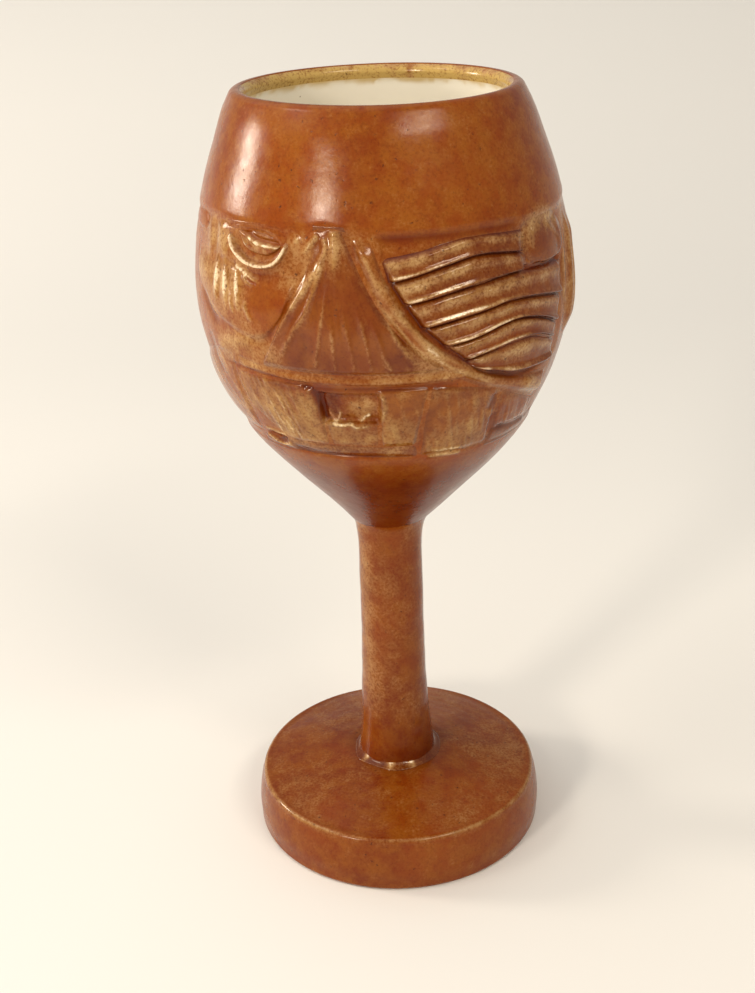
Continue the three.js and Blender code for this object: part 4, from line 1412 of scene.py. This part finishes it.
@dataclass(frozen=True)
class Cheeks:
    """The lapped cheek, the fold beside the nose and the ridged pad under the eye."""

    seam: float = 0.1
    roll: float = 0.7
    lip_lean: float = 27.0
    grooves: tuple[Line, ...] = (
        ((-0.8, 161.6), (8.6, 162.4), (18.2, 163.9), (28, 164.6), (47, 163.6)),
        ((1.2, 156.5), (9, 157.7), (18, 159.3), (30, 160.5), (46, 159.0)),
        ((5.0, 152.0), (14, 153.1), (23, 154.4), (34, 155.4), (47, 155.5)),
        ((9.8, 146.9), (20, 148.2), (29, 149.1), (39, 150), (51, 149), (66, 146.8)),
        ((16.2, 142.7), (26, 143.8), (35, 145.4), (43, 145.6), (53, 143.8), (63.5, 140.6)),
        ((22.4, 139.0), (31, 140.2), (41, 141.1), (51, 140.3), (62.6, 137.2)),
        ((24.4, 137.6), (32, 135.2), (41, 133.6), (52, 132.8), (64, 133.2)),
    )
    third_top: Line = ((5.0, 152.0), (15, 153.3), (27, 154.8), (40, 155.6), (53, 155.1), (67, 154.4))
    fifth_top: Line = ((16.2, 142.7), (28, 144.2), (40, 145.7), (52, 144), (63.5, 140.6))

    def lap_shape(self, p: Patch) -> tuple[Array, Array]:
        """Form one lap: a soft tan ridge along its top and a rolled edge along its bottom, whose crest carries
        a painted cream highlight.

        Args:
            p: Places on the piece.

        Returns:
            The rise in mm and the share of tan glaze at each place.
        """
        wall_slope = FORM.radius(p.height + 0.5) - FORM.radius(p.height - 0.5)
        lean = math.tan(math.radians(self.lip_lean)) + wall_slope
        v = p.v + 0.05 * p.noise(6, 89)
        rise = -1.15 + 1.1 * smooth(-0.02, 0.3, v) - 0.24 * bell(0.54, 0.46, v)
        rise = rise + lean * np.clip(p.across - 0.73 * p.width, 0, 0.14 * p.width)
        over = np.clip((p.across - p.width + self.roll) / self.roll, 0, 1)
        rise = rise - (rise + 1.15) * (1 - np.sqrt(np.clip(1 - over * over, 0, 1)))
        nick = bell(1.2, 1.8, p.along) * bell(0.75, 0.5, p.v)
        rise = rise + 0.14 * nick + 0.05 * p.noise(3, 71) + 0.03 * p.noise(1.4, 78)
        mottle = 0.3 * p.noise(1.6, 75) + 0.25 * p.noise(4, 76)
        tan = (0.75 + mottle) * bell(0.34, 0.46, v) * smooth(0.04, 0.2, v)
        # Painted highlight: a cream line along the rolled edge's crest on the lap's left half, and a touch on
        # the nick at its left end, stand for the lamps' reflections, as well as glaze worn thin there.
        wear_and_highlight = smooth(0.02, 0.14, p.t) * smooth(0.72, 0.4, p.t) * (0.75 + 0.5 * p.noise(2.2, 88))
        tan = tan + (0.3 + 1.7 * wear_and_highlight) * bell(0.85, 0.12, v) + 0.2 * nick
        return rise, tan * (1 - 0.45 * smooth(0.45, 0.9, p.t))

    def laps(self) -> list[ClayPiece]:
        """Give the six lapped strips, each from one groove to the next."""
        tops = {2: self.third_top, 4: self.fifth_top}
        return [ClayPiece(
            f"cheek_lap_{i + 1}", Slot.RED_BROWN,
            lifted(tops.get(i, self.grooves[i]), self.seam),
            lifted(self.grooves[i + 1], -self.seam),
            self.lap_shape, (1.7, 3.0, 0.5, 0.4), 0.23, 0.5, 0.85,
        ) for i in range(6)]

    def fold_shape(self, p: Patch) -> tuple[Array, Array]:
        """Form the fold: a rounded band that ends in a lump.

        Args:
            p: Places on the piece.

        Returns:
            The rise in mm and the share of tan glaze at each place.
        """
        lump = smooth(0.84, 0.92, p.t)
        rise = -0.6 + (0.55 + 0.35 * p.t) * dome(p.v, 0.45) + 0.3 * lump * dome(p.v)
        drawn = clay_noise(p.across, p.along / 6, 0.9, 79)
        rise = rise + 0.05 * p.noise(3, 72) + 0.05 * drawn
        return rise, 0.18 + 0.2 * p.noise(3, 77) + 0.38 * drawn - 0.05 * smooth(0.5, 0.8, p.t)

    def pad_shape(self, p: Patch) -> tuple[Array, Array]:
        """Form the pad as a low mound, fullest near its lower edge."""
        rise = -0.6 + 0.75 * smooth(0, 0.6, p.v) * dome(np.clip(p.v, 0.6, 1), 0.6) + 0.08 * p.noise(6, 73)
        return rise, 0.36 + 0.25 * p.noise(5, 74)

    def pieces(self) -> list[ClayPiece]:
        """Give all the cheeks' pieces."""
        fold = ClayPiece(
            "cheek_fold", Slot.TAN,
            ((-10, 165.8), (-7, 161), (-3.8, 155.3), (-0.4, 150.6), (3.4, 146.4),
             (8.2, 142.2), (16, 137.8), (28, 132.8), (44, 128), (57, 124.6)),
            ((-2.8, 164.8), (-1, 160.2), (1.4, 156.2), (5, 151.4), (9.2, 147.2),
             (14.4, 143.2), (22.2, 138.9), (32.6, 134.5), (46, 132), (60, 130.6)),
            self.fold_shape, (3.2, 1.8, 1.5, 1.0),
        )
        pad = ClayPiece(
            "cheek_pad", Slot.BROWN,
            ((-75.5, 159.8), (-65, 160.1), (-54, 159.2), (-45, 158), (-38, 157.6),
             (-30, 157.7), (-23.4, 157.6)),
            ((-73, 152.6), (-64.5, 148.6), (-56, 145.2), (-48, 143.4), (-40, 142.6),
             (-34.4, 144.6), (-29.6, 149.2)),
            self.pad_shape, (2.8, 1.8, 3.4, 1.7),
        )
        return [*self.laps(), fold, pad]


@dataclass(frozen=True)
class LeftEye:
    """The half-moon eye: a rim round its socket, a slit ball in it and the lid above."""

    lid_line: Line = ((-48, 165.2), (-42.6, 164.1), (-40, 163.4), (-36.5, 163.0), (-30, 162.7))

    def rim_shape(self, p: Patch) -> tuple[Array, Array]:
        """Form the rim as a round bead, with a painted cream highlight along its crest."""
        rise = -0.75 + 1.15 * dome(p.v) + 0.04 * p.noise(2, 81)
        return rise, 0.1 + 1.5 * bell(0.5, 0.55, p.v) + 0.3 * p.noise(1.5, 84)

    def ball_shape(self, p: Patch) -> tuple[Array, Array]:
        """Form the ball in the socket: its lower lid a fold under a dark slit, with painted cream highlights
        on the fold and on the ball's lower left edge.

        Args:
            p: Places on the piece.

        Returns:
            The rise in mm and the share of tan glaze at each place.
        """
        lid = read_curve(self.lid_line, p.angle)
        rise = -1.15 + 0.7 * dome(p.v, 0.4) * dome(p.t) - 0.45 * bell(lid + 0.9, 0.8, p.height)
        rise = rise + 0.45 * bell(lid, 1.0, p.height) + 0.2 * bell(lid + 1.8, 0.8, p.height)
        # Painted highlights: cream glints along the lower lid's fold and the ball's lower left edge.
        lid_glint = bell(lid, 0.75, p.height) * smooth(-44.5, -41, p.angle) * (0.7 + 0.5 * p.noise(1.1, 86))
        edge = bell(0.45, 0.6, p.across) * smooth(0.6, 0.2, p.t)
        slit = 0.9 * bell(lid + 0.95, 0.8, p.height)
        return rise, 0.3 + 0.4 * p.noise(1.2, 85) + 1.8 * lid_glint + edge - slit

    def lid_shape(self, p: Patch) -> tuple[Array, Array]:
        """Form the lid, which slopes back under the brow."""
        return p.bed + 0.12 * dome(p.v) + 0.05 * p.noise(2.5, 82), 0.14 + 0.35 * p.noise(2, 83)

    def pieces(self) -> list[ClayPiece]:
        """Give the eye's three pieces."""
        return [
            ClayPiece(
                "eye_rim", Slot.TAN,
                ((-51.9, 164.4), (-51.2, 162.5), (-49.2, 160.7), (-45.1, 158.9), (-40.5, 158.1),
                 (-36.5, 158.1), (-32.5, 158.8), (-29.8, 160.4), (-28.2, 162.3), (-27.6, 164)),
                ((-50.2, 164.4), (-49.3, 163.1), (-47.7, 161.8), (-44.1, 160.3), (-40.3, 159.6),
                 (-36.7, 159.6), (-33.5, 160.2), (-31.4, 161.4), (-30.1, 162.7), (-29.5, 164)),
                self.rim_shape, (1.2, 1.2, 0.45, 0.45), 0.16, 0.45,
            ),
            ClayPiece(
                "eyeball", Slot.TAN,
                ((-47.6, 164.6), (-45.9, 162.6), (-43, 161.3), (-39.4, 160.8), (-35.6, 160.8),
                 (-32.6, 161.7), (-30.6, 163)),
                ((-47.2, 165.3), (-44, 165.6), (-40.8, 165.5), (-37.2, 165.2), (-34, 164.8),
                 (-31.8, 164.4), (-30.2, 163.8)),
                self.ball_shape, (0.5, 0.5, 0.5, 0.4), 0.16, 0.5,
            ),
            ClayPiece(
                "eyelid", Slot.BROWN,
                ((-54, 164.6), (-40, 165.6), (-27, 164.4)), ((-54, 166.2), (-40, 166.7), (-27, 166.2)),
                self.lid_shape, (4.0, 4.0, 0.8, 0.8), 0.27,
            ),
        ]


@dataclass(frozen=True)
class Mouth:
    """The lips, the big brushed teeth and the stump of a missing one."""

    def lip_shape(self, p: Patch) -> tuple[Array, Array]:
        """Form the upper lip: it grows out of the nose and ends in a sharp lower edge."""
        rise = -0.3 + 0.4 * smooth(0.0, 0.85, p.v) + 0.04 * p.noise(4, 91)
        return rise, 0.3 + 0.15 * p.noise(6, 92)

    def tooth_shape(self, p: Patch) -> tuple[Array, Array]:
        """Form a tooth, bellied a little and combed with upright strokes.

        Args:
            p: Places on the piece.

        Returns:
            The rise in mm and the share of tan glaze at each place.
        """
        across = np.radians(p.angle) * GIRTH + 0.25 * (p.height - 125)
        combed = clay_noise(across, p.height / 7, 0.8, 93)
        rise = -0.15 + 0.2 * p.t + 0.12 * np.sin(math.pi * np.clip(p.v, 0, 1))
        rise = rise + 0.1 * combed + 0.1 * p.noise(3, 94)
        tan = 0.34 - 0.26 * smooth(-24, 12, p.angle) + 0.2 * smooth(0.3, 0.95, p.t)
        return rise, tan + 0.3 * combed + 0.16 * p.noise(3.5, 95)

    def stump_shape(self, p: Patch) -> tuple[Array, Array]:
        """Form the stump, torn along its top edge."""
        torn = smooth(0.5, 0, p.t)
        return -0.2 + 0.12 * p.noise(1.6, 96) * torn + 0.1 * p.t, 0.3 + 0.2 * p.noise(2, 97)

    def chin_shape(self, p: Patch) -> tuple[Array, Array]:
        """Form the lower lip as a flat rounded strip."""
        rise = -0.35 + 0.3 * dome(p.v, 0.5) + 0.08 * p.noise(4, 98)
        return rise, 0.2 + 0.3 * p.noise(4, 99)

    def pieces(self) -> list[ClayPiece]:
        """Give the mouth's pieces."""
        def tooth(name: str, first: Line, last: Line, shape: Shape = self.tooth_shape) -> ClayPiece:
            """Make one tooth between its left and right lines."""
            return ClayPiece(name, Slot.TOOTH, first, last, shape, (1.0, 1.5, 1.2, 1.2), 0.3, 0.6)

        return [
            ClayPiece(
                "upper_lip", Slot.BROWN,
                ((-50, 138.8), (-30, 137.5), (0, 137.4), (22.5, 137.6)),
                ((-50, 135.4), (-30, 134.8), (0, 134.9), (25.4, 135.1)),
                self.lip_shape, (3.0, 1.6, 1.6, 0.8), 0.27,
            ),
            tooth("tooth_1", ((-51, 134.8), (-50.6, 127), (-37, 118.8)),
                  ((-21.2, 134.4), (-20.6, 127), (-20.4, 118.8))),
            tooth("tooth_stump", ((-20.4, 125.8), (-20.2, 122.5), (-20, 118.8)),
                  ((-2.9, 125.8), (-2.9, 122.5), (-3, 118.8)), self.stump_shape),
            tooth("tooth_2", ((-3.2, 134.4), (-2.6, 127), (-2.8, 118.8)),
                  ((12.6, 134.2), (10.8, 127), (9.2, 118.8))),
            tooth("tooth_3", ((13.0, 134.2), (11.6, 127), (10.8, 115.4)),
                  ((35.6, 131), (36.4, 124), (37.6, 115.8))),
            tooth("tooth_4", ((38, 129.4), (37.8, 124), (39.4, 119)),
                  ((57.6, 123.4), (57.6, 121.6), (57.6, 119))),
            ClayPiece(
                "lower_lip", Slot.RED_BROWN,
                ((-53, 117.8), (-46, 117.6), (-36, 119.4), (-14, 119.4), (9.8, 119.2)),
                ((-53, 115.2), (-46, 115.2), (-36, 115.2), (-14, 115.2), (10.6, 115.2)),
                self.chin_shape, (1.8, 1.6, 1.2, 1.2),
            ),
            ClayPiece(
                "lip_corner", Slot.RED_BROWN,
                ((38.2, 119.6), (50, 119.3), (62.5, 118.4)), ((38.2, 115.2), (50, 115.2), (62.5, 115.2)),
                self.chin_shape, (1.4, 2.4, 1.2, 1.2),
            ),
        ]


@dataclass(frozen=True)
class FaceSides:
    """The ears, the jaw and the strands of hair at the edges of the face."""

    strands: tuple[float, ...] = (0.3, 0.58, 0.86)

    def lobe_shape(self, p: Patch) -> tuple[Array, Array]:
        """Form the flat left ear."""
        return p.bed + 0.5 * dome(p.t) * dome(p.v), -0.5 + 0.2 * p.noise(2, 106)

    def drop_shape(self, p: Patch) -> tuple[Array, Array]:
        """Form the right ear as a full drop, brushed at its top.

        Args:
            p: Places on the piece.

        Returns:
            The rise in mm and the share of tan glaze at each place.
        """
        rise = p.bed + (0.2 + 0.75 * smooth(0, 0.7, p.t)) * dome(p.v, 0.45)
        streaks = clay_noise(p.angle * 0.73 - 0.4 * p.height, p.height / 6, 0.9, 101)
        tan = -0.1 + (0.45 + 0.4 * streaks) * smooth(0.6, 0.1, p.t)
        return rise + 0.04 * streaks * smooth(0.6, 0.2, p.t), tan

    def jaw_shape(self, p: Patch) -> tuple[Array, Array]:
        """Form the jaw, swelling most low down at the outer edge.

        Args:
            p: Places on the piece.

        Returns:
            The rise in mm and the share of tan glaze at each place.
        """
        streaks = clay_noise(p.angle * 0.73 + 0.7 * p.height, p.height / 5, 1.3, 102)
        rise = -0.8 + (1.2 - 0.3 * p.t) * dome(p.v, 0.64) + 0.04 * streaks
        return rise, 0.12 + 0.25 * streaks + 0.25 * p.noise(4, 103)

    def hair_shape(self, p: Patch) -> tuple[Array, Array]:
        """Form the strands of hair.

        Args:
            p: Places on the piece.

        Returns:
            The rise in mm and the share of tan glaze at each place.
        """
        strands = sum(p.ridge(share, 2.4) for share in self.strands)
        rise = p.bed + 0.3 + 0.5 * strands + 0.4 * bell(0.72, 0.6, p.t) + 0.05 * p.noise(3, 104)
        return rise, 0.1 + 0.25 * strands + 0.2 * p.noise(5, 105)

    def pieces(self) -> list[ClayPiece]:
        """Give the pieces at the face's edges."""
        return [
            ClayPiece(
                "ear_left", Slot.BROWN,
                ((-80, 166.6), (-83, 164.4), (-80, 162)), ((-68, 166.8), (-65, 164.6), (-68, 162)),
                self.lobe_shape, (2.2, 2.2, 2.0, 2.0),
            ),
            ClayPiece(
                "ear_right", Slot.RED_BROWN,
                ((46, 165.4), (43.8, 161.6), (45.2, 157.8), (51, 155.4)),
                ((64, 165.8), (69.5, 162), (71, 158), (66.4, 155)),
                self.drop_shape, (3.0, 1.3, 3.6, 3.4),
            ),
            ClayPiece(
                "jaw", Slot.TAN,
                ((-84, 133), (-70, 136.4), (-60, 138.6), (-51, 138.4)),
                ((-84, 119.6), (-70, 118.6), (-60, 117.8), (-51, 117.6)),
                self.jaw_shape, (2.5, 2.0, 2.6, 1.4),
            ),
            ClayPiece(
                "hair_strands", Slot.BROWN,
                ((72.5, 163.4), (71.5, 156), (69.6, 148), (68.6, 142), (70, 135)),
                ((86.5, 163.6), (86, 155), (85.5, 147), (84, 140.5), (82, 133.2)),
                self.hair_shape, (6.5, 6.5, 3.0, 3.6),
            ),
        ]


@dataclass(frozen=True)
class TikiFace:
    """One whole face, the same on both sides of the bowl."""

    nose: Nose = Nose()
    cheeks: Cheeks = Cheeks()
    eye: LeftEye = LeftEye()
    mouth: Mouth = Mouth()
    sides: FaceSides = FaceSides()

    def pieces(self) -> list[ClayPiece]:
        """Give every clay piece of the face."""
        parts = (self.nose, self.cheeks, self.eye, self.mouth, self.sides)
        return [piece for part in parts for piece in part.pieces()]

    def cover(self, face: Array, height: Array) -> Array:
        """Greatest distance that places lie inside any piece's outline, in mm."""
        return np.maximum.reduce([piece.cover(face, height) for piece in self.pieces()])

    def build(self, side: Side) -> None:
        """Lay every clay piece of the face.

        Args:
            side: Which side of the bowl to lay it on.
        """
        for piece in self.pieces():
            piece.lay(side)


# The studio


@dataclass(frozen=True)
class Lamp:
    """A soft lamp that faces the bowl from a distance."""

    name: str
    azimuth: float
    elevation: float
    width: float
    height: float
    power: float
    colour: str = "#fff4e4"
    distance: float = 1.1


@dataclass(frozen=True)
class Studio:
    """A pale paper sweep under window-like lamps, seen from where the photograph was taken."""

    camera_place: tuple[float, float, float] = (0.0, -315.2, 234.6)
    pitch: float = 24.476
    yaw: float = -0.554
    roll: float = -1.981
    lens: float = 51.03
    lamps: tuple[Lamp, ...] = (
        Lamp("window_left", -101, 14, 0.19, 0.26, 5.3),
        Lamp("window_front", -38, 19, 0.17, 0.16, 4.8),
        Lamp("window_right", 36, 42, 0.5, 0.13, 4.0),
        Lamp("skylight", -76, 44, 0.3, 0.12, 1.4),
        Lamp("ceiling", -96, 65, 2.0, 2.0, 7.9, "#ffffff", 1.4),
    )
    aim_height: float = 130.0
    room: str = "#f7f4ee"
    room_strength: float = 0.44
    paper: str = "#efebe4"
    paper_size: float = 3200.0
    paper_shift: float = 900.0
    bend_start: float = 420.0
    bend_length: float = 300.0
    bend_rise: float = 0.0009

    def camera(self) -> None:
        """Place the camera by its height, distance, pitch, yaw and roll."""
        pitch, yaw, roll = (math.radians(a) for a in (self.pitch, self.yaw, self.roll))
        level = math.cos(pitch)
        ahead = Vector((math.sin(yaw) * level, math.cos(yaw) * level, -math.sin(pitch)))
        right = Vector((math.cos(yaw), -math.sin(yaw), 0))
        up = right.cross(ahead)
        tilted_right = right * math.cos(roll) + up * math.sin(roll)
        tilted_up = up * math.cos(roll) - right * math.sin(roll)
        data = bpy.data.cameras.new("camera")
        data.lens, data.sensor_width = self.lens, 36
        camera = bpy.data.objects.new("camera", data)
        bpy.context.scene.collection.objects.link(camera)
        turn = Matrix((tilted_right, tilted_up, -ahead)).transposed()
        camera.matrix_world = Matrix.Translation(Vector(self.camera_place) * MM) @ turn.to_4x4()
        bpy.context.scene.camera = camera

    def light(self) -> None:
        """Hang the lamps and set the faint light of the room."""
        aim = Vector((0, 0, self.aim_height * MM))
        for lamp in self.lamps:
            azimuth, elevation = math.radians(lamp.azimuth), math.radians(lamp.elevation)
            level = math.cos(elevation)
            away = Vector((math.sin(azimuth) * level, -math.cos(azimuth) * level, math.sin(elevation)))
            data = bpy.data.lights.new(lamp.name, "AREA")
            data.shape = "RECTANGLE"
            data.size, data.size_y = lamp.width, lamp.height
            data.energy = lamp.power
            data.color = linear(lamp.colour)[:3]
            light = bpy.data.objects.new(lamp.name, data)
            bpy.context.scene.collection.objects.link(light)
            light.location = aim + away * lamp.distance
            light.rotation_euler = (-away).to_track_quat("-Z", "Y").to_euler()
        world = bpy.data.worlds.new("room")
        world.use_nodes = True
        feed(world.node_tree.nodes["Background"], {
            "Color": linear(self.room), "Strength": self.room_strength})
        bpy.context.scene.world = world

    def sweep(self) -> None:
        """Lay the paper the goblet stands on, curving up behind it."""
        only()
        bpy.ops.mesh.primitive_grid_add(
            x_subdivisions=24, y_subdivisions=48, size=self.paper_size * MM,
            location=(0, self.paper_shift * MM, 0))
        paper = bpy.context.object
        paper.name = "paper_sweep"
        bpy.ops.object.transform_apply(location=True, rotation=False, scale=False)
        places = coordinates(paper)
        back = np.clip(places[:, 1] - self.bend_start, 0, None)
        bent = np.minimum(back, self.bend_length)
        places[:, 2] = self.bend_rise * (bent**2 + 2 * self.bend_length * (back - bent))
        move_vertices(paper, places)
        bpy.ops.object.shade_smooth()
        material = bpy.data.materials.new("matt_white_paper")
        material.use_nodes = True
        feed(material.node_tree.nodes["Principled BSDF"], {
            "Base Color": linear(self.paper), "Roughness": 0.9})
        paper.data.materials.append(material)

    def build(self) -> None:
        """Set the colour management, the camera, the lamps and the paper."""
        bpy.context.scene.view_settings.view_transform = "Standard"
        self.camera()
        self.light()
        self.sweep()


def main() -> None:
    """Build the goblet from the foot up, then the studio round it."""
    logging.basicConfig(level=logging.INFO, format="%(name)s: %(message)s")
    only()
    Foot().build()
    Stem().build()
    face = TikiFace()
    Bowl().build(face.cover)
    for side in Side:
        face.build(side)
    Studio().build()


if __name__ == "__main__":
    main()
